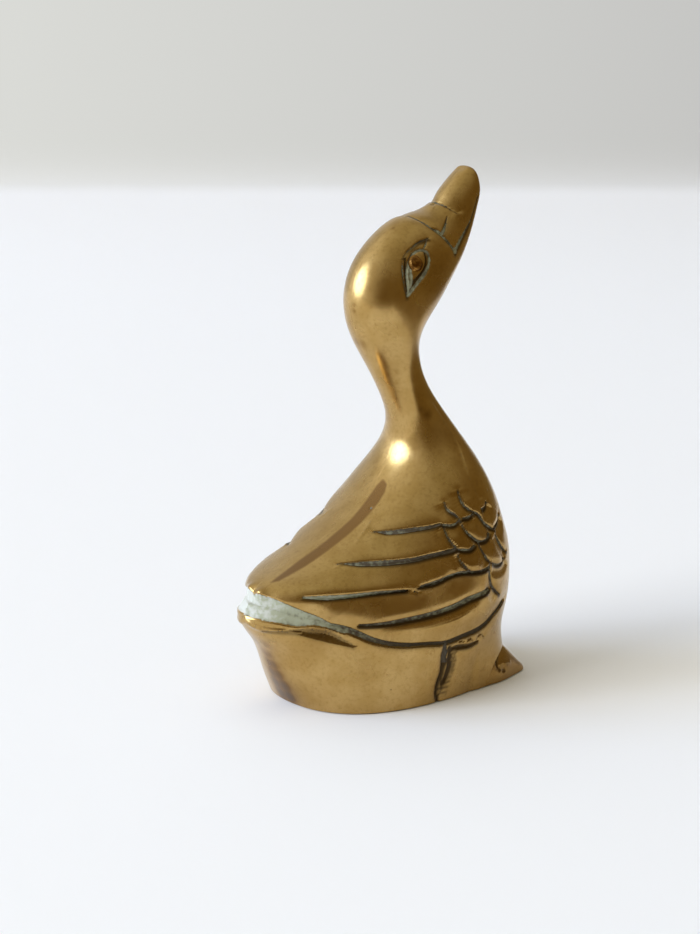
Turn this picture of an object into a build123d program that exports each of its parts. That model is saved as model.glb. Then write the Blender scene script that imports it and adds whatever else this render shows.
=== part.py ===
"""Brass duck, a hollow cast figurine that sits on its closed underside and looks up.

Millimetres. +X is forward, towards the breast and the feet, +Y is the duck's left, +Z is up.
The origin is the middle of the underside. The duck is two half castings brazed on the middle
plane, two toes cast apart, two eye pins, and a soldered plate that closes the underside.
"""
from build123d import *
import os
from math import cos, hypot, radians, sin

os.makedirs("parts", exist_ok=True)

# Outer sizes of the duck
height = 90.0
length = 53.4
body_width = 34.4
neck_width = 8.8
head_width = 15.8
bill_width = 8.0
bill_tip_round = 1.1

# The casting and its joint on the middle plane
wall = 2.4
braze_film = 0.4

# The recess under the wing tips, above the lip of the tail
recess_height = 3.3
recess_depth = 1.2

# The chased lines of the wing and the leg
chased_depth = 0.9
chased_width = 1.1

# The plate and its solder in the underside
rim_width = 1.2
solder_width = 0.4
plate_thickness = 1.2
vent_diameter = 1.6

# The eye pins
eye_diameter = 2.6
eye_dome_height = 0.6
eye_socket_depth = 3.0
eye_rise_angle = 21.0
eye_back_angle = 15.0

# The toes
toe_width = 8.0
toe_height = 5.4
toe_length = 14.0
toe_inset = 7.7
toe_tip_width = 0.9
toe_tip_height = 0.7
toe_seat_depth = 1.0

# Cutting tools run past what they cut by this much
overrun = 1.0

# Every outline of the duck lies in a plane across it, which holds one point of its back line
# and one of its front line. A row gives, in shares: back point along the length from the tail
# and up the height, front point the same way, half width, place of the widest point from back
# to front, and how full the outline is at the back and at the front. The first row lies under
# the ground, where the form is cut off flat.
hull_shares = (
    (0.218, -0.056, 0.936, -0.056, 0.87, 0.44, 0.78, 0.70),
    (0.172, 0.000, 0.951, 0.000, 0.905, 0.46, 0.74, 0.70),
    (0.122, 0.060, 0.968, 0.056, 0.935, 0.50, 0.64, 0.67),
    (0.073, 0.122, 0.980, 0.115, 0.96, 0.55, 0.59, 0.66),
    (0.004, 0.185, 0.994, 0.172, 0.985, 0.60, 0.48, 0.66),
)
wing_shares = (
    (0.020, 0.231, 0.998, 0.214, 1.00, 0.60, 0.44, 0.64),
    (0.137, 0.264, 0.995, 0.266, 0.99, 0.57, 0.48, 0.62),
    (0.266, 0.298, 0.975, 0.314, 0.935, 0.54, 0.55, 0.60),
    (0.406, 0.347, 0.942, 0.367, 0.86, 0.52, 0.56, 0.58),
    (0.525, 0.406, 0.892, 0.428, 0.71, 0.50, 0.55, 0.55),
    (0.594, 0.467, 0.828, 0.487, 0.485, 0.50, 0.55, 0.55),
)
neck_shares = (
    (0.592, 0.524, 0.760, 0.547, 1.20, 0.50, 0.55, 0.55),
    (0.552, 0.580, 0.704, 0.602, 1.00, 0.50, 0.55, 0.55),
    (0.500, 0.636, 0.678, 0.647, 1.14, 0.50, 0.55, 0.55),
)
head_shares = (
    (0.448, 0.696, 0.674, 0.682, 0.80, 0.50, 0.55, 0.55),
    (0.429, 0.762, 0.700, 0.713, 0.935, 0.50, 0.55, 0.55),
    (0.463, 0.829, 0.747, 0.747, 1.00, 0.50, 0.55, 0.55),
    (0.545, 0.883, 0.800, 0.787, 0.925, 0.50, 0.55, 0.55),
    (0.638, 0.913, 0.852, 0.829, 0.77, 0.50, 0.55, 0.55),
)
bill_shares = (
    (0.722, 0.922, 0.891, 0.871, 1.16, 0.50, 0.55, 0.55),
    (0.790, 0.950, 0.914, 0.913, 1.00, 0.50, 0.55, 0.55),
    (0.847, 0.983, 0.926, 0.955, 0.82, 0.50, 0.55, 0.55),
    (0.878, 1.003, 0.926, 0.982, 0.60, 0.50, 0.55, 0.55),
)
side_handle_share = 0.55

# The round at the tip of the bill is at most this share of the radius of the sharpest bend in
# the tip's own outline, which is as deep as its back and front points are apart
bill_round_limit_share = 1.05

# Each outline of the hollow follows one outline of the outer form: the number of its row, then
# how far it lies inside, in walls: its back point forwards and upwards, its front point
# backwards and downwards, and its sides. The front is thicker where the toes are seated.
hollow_shares = (
    (1, 1.25, 0.00, 1.80, 0.00, 1.15),
    (2, 1.30, 0.05, 1.60, 0.00, 1.10),
    (3, 1.50, 0.10, 1.15, 0.00, 1.04),
    (4, 3.20, -0.10, 1.00, 0.00, 1.00),
    (6, 2.30, -1.10, 1.00, 0.10, 1.00),
    (7, 0.65, -1.00, 0.98, 0.30, 1.02),
    (8, 0.66, -0.85, 0.92, 0.45, 1.06),
    (9, 0.75, -0.75, 0.86, 0.55, 1.12),
)

# The recess of the tail: its lower edge up the height, how far it runs forward along the
# length, and how full its floor is at the back
recess_level_share = 0.192
recess_end_share = 0.34
recess_full_share = 0.66

# The chased lines in the side view, from the tail forwards: place along the length and up the
# height, and width as a share of the chased width
top_quill_shares = (
    (0.405, 0.334, 0.40),
    (0.470, 0.338, 1.00),
    (0.530, 0.343, 0.90),
    (0.585, 0.347, 0.70),
)
second_quill_shares = (
    (0.262, 0.285, 0.40),
    (0.350, 0.289, 1.00),
    (0.455, 0.291, 1.10),
    (0.560, 0.297, 1.00),
    (0.630, 0.300, 0.80),
)
third_quill_shares = (
    (0.120, 0.234, 0.60),
    (0.205, 0.235, 1.10),
    (0.300, 0.237, 1.10),
    (0.435, 0.235, 0.75),
)
fourth_quill_shares = (
    (0.475, 0.239, 0.70),
    (0.550, 0.244, 1.25),
    (0.620, 0.251, 0.90),
    (0.690, 0.248, 0.75),
    (0.765, 0.247, 0.60),
)
lowest_quill_shares = (
    (0.262, 0.177, 0.40),
    (0.400, 0.177, 0.85),
    (0.550, 0.182, 1.00),
    (0.700, 0.195, 1.25),
    (0.810, 0.208, 0.90),
)
wing_edge_shares = (
    (0.150, 0.197, 1.20),
    (0.225, 0.175, 1.10),
    (0.308, 0.148, 1.10),
    (0.400, 0.131, 0.85),
    (0.500, 0.123, 0.75),
    (0.600, 0.117, 0.75),
    (0.695, 0.122, 0.85),
    (0.790, 0.137, 0.90),
    (0.865, 0.158, 0.60),
)
leg_line_shares = (
    (0.586, 0.116, 0.90),
    (0.572, 0.098, 1.15),
    (0.571, 0.070, 1.20),
    (0.566, 0.045, 1.00),
    (0.556, 0.022, 0.80),
)
chased_shares = (
    top_quill_shares,
    second_quill_shares,
    third_quill_shares,
    fourth_quill_shares,
    lowest_quill_shares,
    wing_edge_shares,
    leg_line_shares,
)

# The eye's centre along the length from the tail, out to the side and up the height
eye_shares = (0.585, 0.875, 0.836)

# The toe from its root to its tip: place along it and out to the side, then width and height
# as shares of the way from the tip's size to the full size
toe_shares = (
    (0.00, 0.98, 0.86, 0.79),
    (0.22, 0.99, 0.97, 0.92),
    (0.40, 1.00, 1.00, 1.00),
    (0.58, 0.98, 0.94, 0.96),
    (0.82, 1.03, 0.48, 0.51),
    (0.95, 1.075, 0.15, 0.13),
    (1.00, 1.09, 0.00, 0.00),
)
toe_arch_share = 4 / 3


def outline_row(width, row):
    """One row of shares as sizes: back point, front point, half width, place and fullness."""
    back = ((row[0] - 1 / 2) * length, row[1] * height)
    front = ((row[2] - 1 / 2) * length, row[3] * height)
    return back, front, row[4] * width / 2, row[5], row[6], row[7]


form_rows = [
    outline_row(width, row)
    for width, shares in (
        (body_width, hull_shares),
        (body_width, wing_shares),
        (neck_width, neck_shares),
        (head_width, head_shares),
        (bill_width, bill_shares),
    )
    for row in shares
]
underside_row = form_rows[1]


def draw_outline(row, inset=0.0):
    """A closed outline of four curves, drawn in from the row's by the inset.

    The curves cross the middle plane squarely at the back and front points, and run fore and
    aft at the widest points, where the handle lengths keep the bend even."""
    back, front, half_width, widest_share, back_full_share, front_full_share = row
    depth = hypot(front[0] - back[0], front[1] - back[1])
    forward = ((front[0] - back[0]) / depth, (front[1] - back[1]) / depth)
    start, end, side = inset, depth - inset, half_width - inset
    widest = start + widest_share * (end - start)
    evenness = ((1 - back_full_share) / (1 - front_full_share)) ** (1 / 4)
    handle = side_handle_share * (end - start) / 2
    across = Plane(
        origin=(back[0], 0, back[1]),
        x_dir=(forward[0], 0, forward[1]),
        z_dir=(-forward[1], 0, forward[0]),
    )
    with BuildSketch(across) as outline:
        with BuildLine():
            for hand in (-1, 1):
                Bezier(
                    (end, 0),
                    (end, hand * front_full_share * side),
                    (widest + handle / evenness, hand * side),
                    (widest, hand * side),
                )
                Bezier(
                    (widest, hand * side),
                    (widest - handle * evenness, hand * side),
                    (start, hand * back_full_share * side),
                    (start, 0),
                )
        make_face()
    return outline.sketch


def hollow_row(shares):
    """The outline of the hollow at one row of the outer form."""
    back, front, half_width, *fullness = form_rows[shares[0]]
    return (
        (back[0] + shares[1] * wall, back[1] + shares[2] * wall),
        (front[0] - shares[3] * wall, front[1] - shares[4] * wall),
        half_width - shares[5] * wall,
        *fullness,
    )


def draw_chased_line(shares):
    """A chased line's outline in the side view: a curve on each side of its middle."""
    middle = [Vector((along - 1 / 2) * length, up * height) for along, up, _ in shares]
    steps = [end - start for start, end in zip(middle[:1] + middle, middle[1:] + middle[-1:])]
    upper, lower = [], []
    for place, step, (_, _, width_share) in zip(middle, steps, shares):
        aside = step.normalized().rotate(Axis.Z, 90) * (width_share * chased_width / 2)
        upper.append(place + aside)
        lower.append(place - aside)
    with BuildSketch(Plane.XZ) as outline:
        with BuildLine():
            Spline(*upper)
            Line(upper[-1], lower[-1])
            Spline(*lower)
            Line(lower[0], upper[0])
        make_face()
    return outline.sketch


# The whole outer form, from the underside to the tip of the bill
tip_back, tip_front, tip_half_width = form_rows[-1][:3]
tip_depth = hypot(tip_front[0] - tip_back[0], tip_front[1] - tip_back[1])
tip_bend_radius = (tip_depth / 2) ** 2 / tip_half_width
tip_round = min(bill_tip_round, bill_round_limit_share * tip_bend_radius)
with BuildPart() as whole_form:
    loft(sections=[draw_outline(row) for row in form_rows])
    split(bisect_by=Plane.XY, keep=Keep.TOP)
    fillet(whole_form.faces().sort_by(Axis.Z)[-1].edges(), tip_round)

# What the recess of the tail takes away: a flat slice, less a core that is set in from the
# form at the tail and stands outside it further forward
recess_level = recess_level_share * height
tail_row = form_rows[5]
core_row = (
    (tail_row[0][0] + recess_depth, recess_level),
    (tail_row[1][0], recess_level),
    tail_row[2],
    tail_row[3],
    recess_full_share,
    tail_row[5],
)
with BuildPart() as tail_recess:
    with BuildSketch(Plane.XY.offset(recess_level)):
        with Locations((-length / 2 - overrun, 0)):
            Rectangle(
                recess_end_share * length + overrun,
                body_width + 2 * overrun,
                align=(Align.MIN, Align.CENTER),
            )
        add(draw_outline(core_row), mode=Mode.SUBTRACT)
    extrude(amount=recess_height)

# The form less the depth of the chasing
with BuildPart() as chased_core:
    loft(sections=[draw_outline(row, chased_depth) for row in form_rows[:12]])


def cut_chased_line(shares):
    """What a chased line takes away on the right: its outline carried outwards, less the core."""
    with BuildPart() as line:
        extrude(to_extrude=draw_chased_line(shares), amount=body_width / 2 + overrun)
        add(chased_core.part, mode=Mode.SUBTRACT)
    return line.part


# The hollow, from the plate up to the root of the neck
with BuildPart() as hollow:
    loft(sections=[draw_outline(hollow_row(shares)) for shares in hollow_shares])

# The rebate that takes the plate and its solder
with BuildPart() as rebate:
    add(draw_outline(underside_row, rim_width))
    extrude(amount=plate_thickness)

# What stays of the hull behind the toes' seats
with BuildPart() as seat_core:
    loft(sections=[draw_outline(row, toe_seat_depth) for row in form_rows[:4]])

# The right toe, a D-shaped form that narrows to its tip and sits against the hull
toe_side = body_width / 2 - toe_inset
with BuildPart() as right_foot:
    toe_sections = []
    for along_share, side_share, width_share, height_share in toe_shares:
        half = (toe_tip_width + width_share * (toe_width - toe_tip_width)) / 2
        top = toe_arch_share * (toe_tip_height + height_share * (toe_height - toe_tip_height))
        toe_place = (length / 2 - (1 - along_share) * toe_length, -side_share * toe_side, 0)
        toe_across = Plane(toe_place, x_dir=(0, 1, 0), z_dir=(1, 0, 0))
        with BuildSketch(toe_across) as toe_section:
            with BuildLine():
                Bezier((-half, 0), (-half, top), (half, top), (half, 0))
                Line((half, 0), (-half, 0))
            make_face()
        toe_sections.append(toe_section.sketch)
    loft(sections=toe_sections)
    add(seat_core.part, mode=Mode.SUBTRACT)
right_foot.part.label = "right_foot"
export_step(right_foot.part, "parts/right_foot.step")

with BuildPart() as left_foot:
    add(mirror(right_foot.part, about=Plane.XZ))
left_foot.part.label = "left_foot"
export_step(left_foot.part, "parts/left_foot.step")

# The right eye: a pin in a drilled socket, with a domed head
eye_rise, eye_back = radians(eye_rise_angle), radians(eye_back_angle)
eye_outward = Vector(
    -sin(eye_back) * cos(eye_rise), -cos(eye_back) * cos(eye_rise), sin(eye_rise)
)
eye_centre = Vector(
    (eye_shares[0] - 1 / 2) * length, -eye_shares[1] * head_width / 2, eye_shares[2] * height
)
eye_side = Vector(cos(eye_back), -sin(eye_back), 0)
dome_radius = ((eye_diameter / 2) ** 2 + eye_dome_height**2) / (2 * eye_dome_height)
with BuildPart() as right_eye:
    with BuildSketch(Plane(eye_centre, x_dir=eye_side, z_dir=eye_side.cross(eye_outward))):
        with BuildLine():
            RadiusArc((0, eye_dome_height), (eye_diameter / 2, 0), dome_radius)
            Polyline(
                (0, eye_dome_height),
                (0, -eye_socket_depth),
                (eye_diameter / 2, -eye_socket_depth),
                (eye_diameter / 2, 0),
            )
        make_face()
    revolve(axis=Axis(eye_centre, eye_outward))
right_eye.part.label = "right_eye"
export_step(right_eye.part, "parts/right_eye.step")

with BuildPart() as left_eye:
    add(mirror(right_eye.part, about=Plane.XZ))
left_eye.part.label = "left_eye"
export_step(left_eye.part, "parts/left_eye.step")

# The plate, its vent hole in the middle, and the ring of solder round it
with BuildPart() as base_plate:
    add(draw_outline(underside_row, rim_width + solder_width))
    extrude(amount=plate_thickness)
    with Locations((0, 0, 0)):
        Hole(vent_diameter / 2)
base_plate.part.label = "base_plate"
export_step(base_plate.part, "parts/base_plate.step")

with BuildPart() as base_solder:
    add(rebate.part)
    with BuildSketch() as plate_room:
        add(draw_outline(underside_row, rim_width + solder_width))
    extrude(amount=plate_thickness, mode=Mode.SUBTRACT)
base_solder.part.label = "base_solder"
export_step(base_solder.part, "parts/base_solder.step")

# The castings and the braze between them share the hollowed form
with BuildPart() as shell:
    add(whole_form.part)
    add(tail_recess.part, mode=Mode.SUBTRACT)
    add(hollow.part, mode=Mode.SUBTRACT)
    add(rebate.part, mode=Mode.SUBTRACT)

with BuildPart() as right_half_casting:
    add(shell.part)
    split(bisect_by=Plane.XZ.offset(braze_film / 2), keep=Keep.TOP)
    for shares in chased_shares:
        add(cut_chased_line(shares), mode=Mode.SUBTRACT)
    add(right_foot.part, mode=Mode.SUBTRACT)
    add(right_eye.part, mode=Mode.SUBTRACT)
right_half_casting.part.label = "right_half_casting"
export_step(right_half_casting.part, "parts/right_half_casting.step")

with BuildPart() as left_half_casting:
    add(mirror(right_half_casting.part, about=Plane.XZ))
left_half_casting.part.label = "left_half_casting"
export_step(left_half_casting.part, "parts/left_half_casting.step")

with BuildPart() as seam_braze:
    add(shell.part)
    split(bisect_by=Plane.XZ.offset(braze_film / 2), keep=Keep.BOTTOM)
    split(bisect_by=Plane.XZ.offset(-braze_film / 2), keep=Keep.TOP)
seam_braze.part.label = "seam_braze"
export_step(seam_braze.part, "parts/seam_braze.step")
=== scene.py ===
"""Looks of the brass duck: two chased half castings, the filler in their seam, toes and eye pins.

Shapes are worked out in millimetres on grids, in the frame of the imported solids, and put into
meshes in metres. +X is forward, +Y is the duck's left, +Z is up, and the origin is the middle of
the underside. What is chased into the metal is placed by pixels of the photograph, from the
photograph's own camera, and lies on the surface that carries it.
"""
from math import cos, pi, radians, sin, tan

import bpy
import numpy as np
from mathutils import Matrix, Vector


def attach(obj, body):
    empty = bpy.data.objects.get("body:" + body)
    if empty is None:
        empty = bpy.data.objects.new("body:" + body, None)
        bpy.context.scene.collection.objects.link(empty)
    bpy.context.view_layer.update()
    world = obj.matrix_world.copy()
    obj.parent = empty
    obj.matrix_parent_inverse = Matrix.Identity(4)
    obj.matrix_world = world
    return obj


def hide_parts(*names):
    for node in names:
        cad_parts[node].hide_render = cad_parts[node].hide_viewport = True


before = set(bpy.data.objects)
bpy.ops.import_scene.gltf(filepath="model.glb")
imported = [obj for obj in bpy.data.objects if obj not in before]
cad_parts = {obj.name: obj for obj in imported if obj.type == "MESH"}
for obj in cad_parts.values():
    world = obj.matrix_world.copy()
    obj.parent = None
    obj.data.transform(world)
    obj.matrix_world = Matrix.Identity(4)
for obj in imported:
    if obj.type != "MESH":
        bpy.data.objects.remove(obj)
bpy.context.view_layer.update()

MILLIMETRE = 0.001

# Sizes of the duck, in millimetres
HEIGHT = 90.0
LENGTH = 53.4
BODY_WIDTH = 34.4
NECK_WIDTH = 8.8
HEAD_WIDTH = 15.8
BILL_WIDTH = 8.0
BILL_TIP_ROUND = 1.1
WALL = 2.4
SEAM = 0.4
RIM_WIDTH = 1.2
PLATE_THICKNESS = 1.2

# The outlines across the duck, as in the solids: back point and front point as shares of the
# length and the height, half width, then widest place, fullness at the back and at the front.
# These last three are ROUND_OUTLINE from the neck upwards.
ROUND_OUTLINE = (0.50, 0.55, 0.55)
HULL_SHARES = (
    (0.218, -0.056, 0.936, -0.056, 0.87, 0.44, 0.78, 0.70),
    (0.172, 0.000, 0.951, 0.000, 0.905, 0.46, 0.74, 0.70),
    (0.122, 0.060, 0.968, 0.056, 0.935, 0.50, 0.64, 0.67),
    (0.073, 0.122, 0.980, 0.115, 0.96, 0.55, 0.59, 0.66),
    (0.004, 0.185, 0.994, 0.172, 0.985, 0.60, 0.48, 0.66),
)
WING_SHARES = (
    (0.020, 0.231, 0.998, 0.214, 1.00, 0.60, 0.44, 0.64),
    (0.137, 0.264, 0.995, 0.266, 0.99, 0.57, 0.48, 0.62),
    (0.266, 0.298, 0.975, 0.314, 0.935, 0.54, 0.55, 0.60),
    (0.406, 0.347, 0.942, 0.367, 0.86, 0.52, 0.56, 0.58),
    (0.525, 0.406, 0.892, 0.428, 0.71, 0.50, 0.55, 0.55),
    (0.594, 0.467, 0.828, 0.487, 0.485, 0.50, 0.55, 0.55),
)
NECK_SHARES = (
    (0.592, 0.524, 0.760, 0.547, 1.20),
    (0.552, 0.580, 0.704, 0.602, 1.00),
    (0.500, 0.636, 0.678, 0.647, 1.14),
)
HEAD_SHARES = (
    (0.448, 0.696, 0.674, 0.682, 0.80),
    (0.429, 0.762, 0.700, 0.713, 0.935),
    (0.463, 0.829, 0.747, 0.747, 1.00),
    (0.545, 0.883, 0.800, 0.787, 0.925),
    (0.638, 0.913, 0.852, 0.829, 0.77),
)
BILL_SHARES = (
    (0.722, 0.922, 0.891, 0.871, 1.16),
    (0.790, 0.950, 0.914, 0.913, 1.00),
    (0.851, 0.983, 0.926, 0.955, 0.82),
    (0.889, 1.0028, 0.914, 0.9795, 0.55),
)
SIDE_HANDLE_SHARE = 0.55  # handles at the widest place, by half the depth

# The hollow, as in the solids: the outline that it follows, then how many walls it lies inside
# at the back point, forwards and upwards, at the front point, backwards and downwards, and aside
HOLLOW_SHARES = (
    (1, 1.25, 0.00, 1.80, 0.00, 1.15),
    (2, 1.30, 0.05, 1.60, 0.00, 1.10),
    (3, 1.50, 0.10, 1.15, 0.00, 1.04),
    (4, 3.20, -0.10, 1.00, 0.00, 1.00),
    (6, 2.30, -1.10, 1.00, 0.10, 1.00),
    (7, 0.65, -1.00, 0.98, 0.30, 1.02),
    (8, 0.66, -0.85, 0.92, 0.45, 1.06),
    (9, 0.75, -0.75, 0.86, 0.55, 1.12),
)

# Spacing of the grid's rows, by the number of the outline: fine over the wings and the head
ROW_SPACINGS = (
    (1.0, 0.50), (2.0, 0.42), (2.8, 0.16), (8.6, 0.15), (9.6, 0.42), (12.5, 0.65),
    (13.6, 0.19), (17.6, 0.17), (19.0, 0.24), (20.0, 0.30),
)
FINE_STEPS = 4000
FRONT_COLUMNS = 108
BACK_COLUMNS = 70
# Density of the front columns: a level, and a bell over the scales with its middle and width
COLUMN_LEVEL = 0.75
SCALE_DENSITY = (0.9, 0.52, 0.26)
TIP_ROUND_ROWS = 8
TIP_TOP_ROWS = 4
HOLLOW_ROW_STEP = 8  # the hollow has one row for so many of the skin's

# The photograph's camera, in millimetres and degrees, and its picture in pixels
CAMERA_TARGET = (-4.2, 0.0, 39.74)
CAMERA_DISTANCE = 455.4
CAMERA_AZIMUTH = -37.0
CAMERA_ELEVATION = 14.21
CAMERA_FIELD = 20.0
PICTURE_WIDTH = 700
PICTURE_HEIGHT = 934


def unit(vectors):
    """Vectors brought to the length 1."""
    return vectors / np.maximum(np.linalg.norm(vectors, axis=-1, keepdims=True), 1e-12)


def running(steps):
    """The sum of all steps so far, from zero on."""
    return np.concatenate([[0], np.cumsum(steps)])


def natural_spline(places, values, at):
    """Natural cubic spline through rows of values at their places: the second derivative is
    zero at both ends, and the inner ones follow from equal slopes on both sides of a row."""
    gaps = np.diff(places)
    count = len(places)
    system = np.eye(count)
    bends = np.zeros_like(values)
    inner = np.arange(1, count - 1)
    system[inner, inner - 1] = gaps[:-1]
    system[inner, inner] = 2 * (gaps[:-1] + gaps[1:])
    system[inner, inner + 1] = gaps[1:]
    slopes = np.diff(values, axis=0) / gaps[:, None]
    bends[1:-1] = 6 * np.diff(slopes, axis=0)
    bends = np.linalg.solve(system, bends)
    span = np.clip(np.searchsorted(places, at, side="right") - 1, 0, count - 2)
    gap = gaps[span][:, None]
    past = (at - places[span])[:, None]
    left = gap - past
    curve = (bends[span] * left**3 + bends[span + 1] * past**3) / (6 * gap)
    start = (values[span] / gap - bends[span] * gap / 6) * left
    end = (values[span + 1] / gap - bends[span + 1] * gap / 6) * past
    return curve + start + end


def form_rows():
    """All outlines in millimetres: back x and z, front x and z, half width and the shares."""
    rows = []
    for width, shares in (
        (BODY_WIDTH, HULL_SHARES),
        (BODY_WIDTH, WING_SHARES),
        (NECK_WIDTH, NECK_SHARES),
        (HEAD_WIDTH, HEAD_SHARES),
        (BILL_WIDTH, BILL_SHARES),
    ):
        for row in shares:
            back = ((row[0] - 1 / 2) * LENGTH, row[1] * HEIGHT)
            front = ((row[2] - 1 / 2) * LENGTH, row[3] * HEIGHT)
            rows.append((*back, *front, row[4] * width / 2, *(row[5:] or ROUND_OUTLINE)))
    return np.array(rows)


FORM = form_rows()
BACK_STEPS = np.hypot(*np.diff(FORM[:, 0:2], axis=0).T)
FRONT_STEPS = np.hypot(*np.diff(FORM[:, 2:4], axis=0).T)
PLACES = running((BACK_STEPS + FRONT_STEPS) / 2)


def row_stations():
    """Places of the grid's rows: the running sum of one over the spacing, cut at whole steps."""
    numbers, spacings = np.array(ROW_SPACINGS).T
    fine = np.linspace(numbers[0], len(PLACES) - 1, FINE_STEPS)
    places = np.interp(fine, np.arange(len(PLACES)), PLACES)
    places = places[places <= PLACES[-1] - BILL_TIP_ROUND]
    fine = fine[: len(places)]
    spacing = np.interp(fine, numbers, spacings)
    count = running(np.diff(places) * 2 / (spacing[1:] + spacing[:-1]))
    return np.interp(np.linspace(0, count[-1], int(count[-1]) + 1), count, places)


def column_shares():
    """Places along the front and the back quarter of an outline, closer where scales lie."""
    fine = np.linspace(0, 1, FINE_STEPS // 10)
    rise, middle, width = SCALE_DENSITY
    density = COLUMN_LEVEL + rise * np.exp(-(((fine - middle) / width) ** 2))
    count = running((density[1:] + density[:-1]) / 2)
    front = np.interp(np.linspace(0, count[-1], FRONT_COLUMNS + 1), count, fine)
    back = np.linspace(0, 1, BACK_COLUMNS + 1)
    return front, back


def bezier(start, first, second, end, at):
    """Cubic curve with two handles: the weights are the terms of (1 - t + t) cubed."""
    rest = 1 - at
    return rest**3 * start + 3 * rest**2 * at * first + 3 * rest * at**2 * second + at**3 * end


def outline_points(rows, inset, narrowing, columns):
    """Half outlines on the right side, front point first, drawn in by an inset and narrowed.

    Each is a front and a back curve. They cross the middle squarely and run fore and aft at
    the widest place, where the handles keep the bend even. Both end at the seam's side."""
    back, front = rows[:, 0:2], rows[:, 2:4]
    half_width, widest_share, back_full, front_full = rows[:, 4:8, None].transpose(1, 0, 2)
    inset, narrowing = np.reshape(inset, (-1, 1)), np.reshape(narrowing, (-1, 1))
    depth = np.hypot(*(front - back).T)[:, None]
    forward = (front - back) / depth
    start, end, side = inset, depth - inset, half_width - inset
    widest = start + widest_share * (end - start)
    evenness = ((1 - back_full) / (1 - front_full)) ** (1 / 4)
    handle = SIDE_HANDLE_SHARE * (end - start) / 2
    front_start = SEAM / 2 / (3 * front_full * side)
    back_start = SEAM / 2 / (3 * back_full * side)
    front_at = front_start + (1 - front_start) * columns[0]
    back_at = (1 - back_start) * columns[1][1:]
    along = np.concatenate([
        bezier(end, end, widest + handle / evenness, widest, front_at),
        bezier(widest, widest - handle * evenness, start, start, back_at),
    ], axis=1)
    aside = np.concatenate([
        bezier(0 * side, front_full * side, side, side, front_at),
        bezier(side, side, back_full * side, 0 * side, back_at),
    ], axis=1)
    aside[:, 0] = aside[:, -1] = SEAM / 2
    aside = SEAM / 2 + (aside - SEAM / 2) * narrowing
    return np.stack([
        back[:, :1] + forward[:, :1] * along,
        -aside,
        back[:, 1:] + forward[:, 1:] * along,
    ], axis=2)


def skin_grid(columns):
    """The right half's outer skin without any chasing, from the underside to the bill's tip.

    At the tip the outline draws in along a quarter circle, and then closes on the middle."""
    body = row_stations()
    turn = np.linspace(0, pi / 2, TIP_ROUND_ROWS + 1)[1:]
    rounding = PLACES[-1] - BILL_TIP_ROUND * (1 - np.sin(turn))
    at = np.concatenate([body, rounding, np.full(TIP_TOP_ROWS, PLACES[-1])])
    inset = np.concatenate([0 * body, BILL_TIP_ROUND * (1 - np.cos(turn))])
    closing = np.linspace(1, 0, TIP_TOP_ROWS + 1)[1:]
    inset = np.concatenate([inset, np.full(TIP_TOP_ROWS, BILL_TIP_ROUND)])
    inset[-TIP_TOP_ROWS:] += (1 - closing) * SEAM / 2
    narrowing = np.concatenate([np.ones(len(body) + TIP_ROUND_ROWS), closing])
    rows = natural_spline(PLACES, FORM, at)
    return outline_points(rows, inset, narrowing, columns), at


def grid_normals(points):
    """Normals of the right half's skin: the cross product of the differences along the rows
    and columns, with the seam's neighbours mirrored so that both halves share them there."""
    mirror = np.array([1, -1, 1])
    wide = np.concatenate([points[:, :1] * mirror, points, points[:, -1:] * mirror], axis=1)
    across = wide[:, 2:] - wide[:, :-2]
    along = np.gradient(points, axis=0)
    normals = unit(np.cross(along, across))
    normals[-1] = normals[-2]
    return normals


def camera_axes():
    """The photograph's view: the place of the camera, and its directions right, up and back."""
    azimuth, elevation = radians(CAMERA_AZIMUTH), radians(CAMERA_ELEVATION)
    back = np.array([
        sin(azimuth) * cos(elevation), -cos(azimuth) * cos(elevation), sin(elevation)
    ])
    right = np.array([cos(azimuth), sin(azimuth), 0])
    return np.array(CAMERA_TARGET) + back * CAMERA_DISTANCE, right, np.cross(back, right), back


CAMERA, RIGHT, UP, BACK = camera_axes()
LEVEL_BACK = unit(BACK * np.array([1, 1, 0]))


def photo_pixels(points):
    """Where points in millimetres show in the photograph."""
    focal = PICTURE_HEIGHT / 2 / tan(radians(CAMERA_FIELD / 2))
    seen = points - CAMERA
    away = -(seen @ BACK)
    across = PICTURE_WIDTH / 2 + focal * (seen @ RIGHT) / away
    down = PICTURE_HEIGHT / 2 - focal * (seen @ UP) / away
    return np.stack([across, down], axis=-1)


def facing_camera(points, normals):
    """Which points of a surface face the photograph's camera."""
    return np.sum((CAMERA - points) * normals, axis=-1) > 0


# The toe, as in the solids, in millimetres. The rows give the place along it and out to the side,
# then width and height as shares of the way from the tip's size to the full size. A section is
# an arch whose handles stand 4/3 of its height up. Skins that meet are drawn out over the blend.
TOE_WIDTH = 8.0
TOE_HEIGHT = 5.4
TOE_LENGTH = 14.0
TOE_INSET = 7.7
TOE_TIP_WIDTH = 0.9
TOE_TIP_HEIGHT = 0.7
TOE_ARCH_SHARE = 4 / 3
TOE_BLEND = 4.5
TOE_SHARES = (
    (0.00, 0.98, 0.86, 0.79),
    (0.22, 0.99, 0.97, 0.92),
    (0.40, 1.00, 1.00, 1.00),
    (0.58, 0.98, 0.94, 0.96),
    (0.82, 1.03, 0.48, 0.51),
    (0.95, 1.075, 0.15, 0.13),
    (1.00, 1.09, 0.00, 0.00),
)

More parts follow.
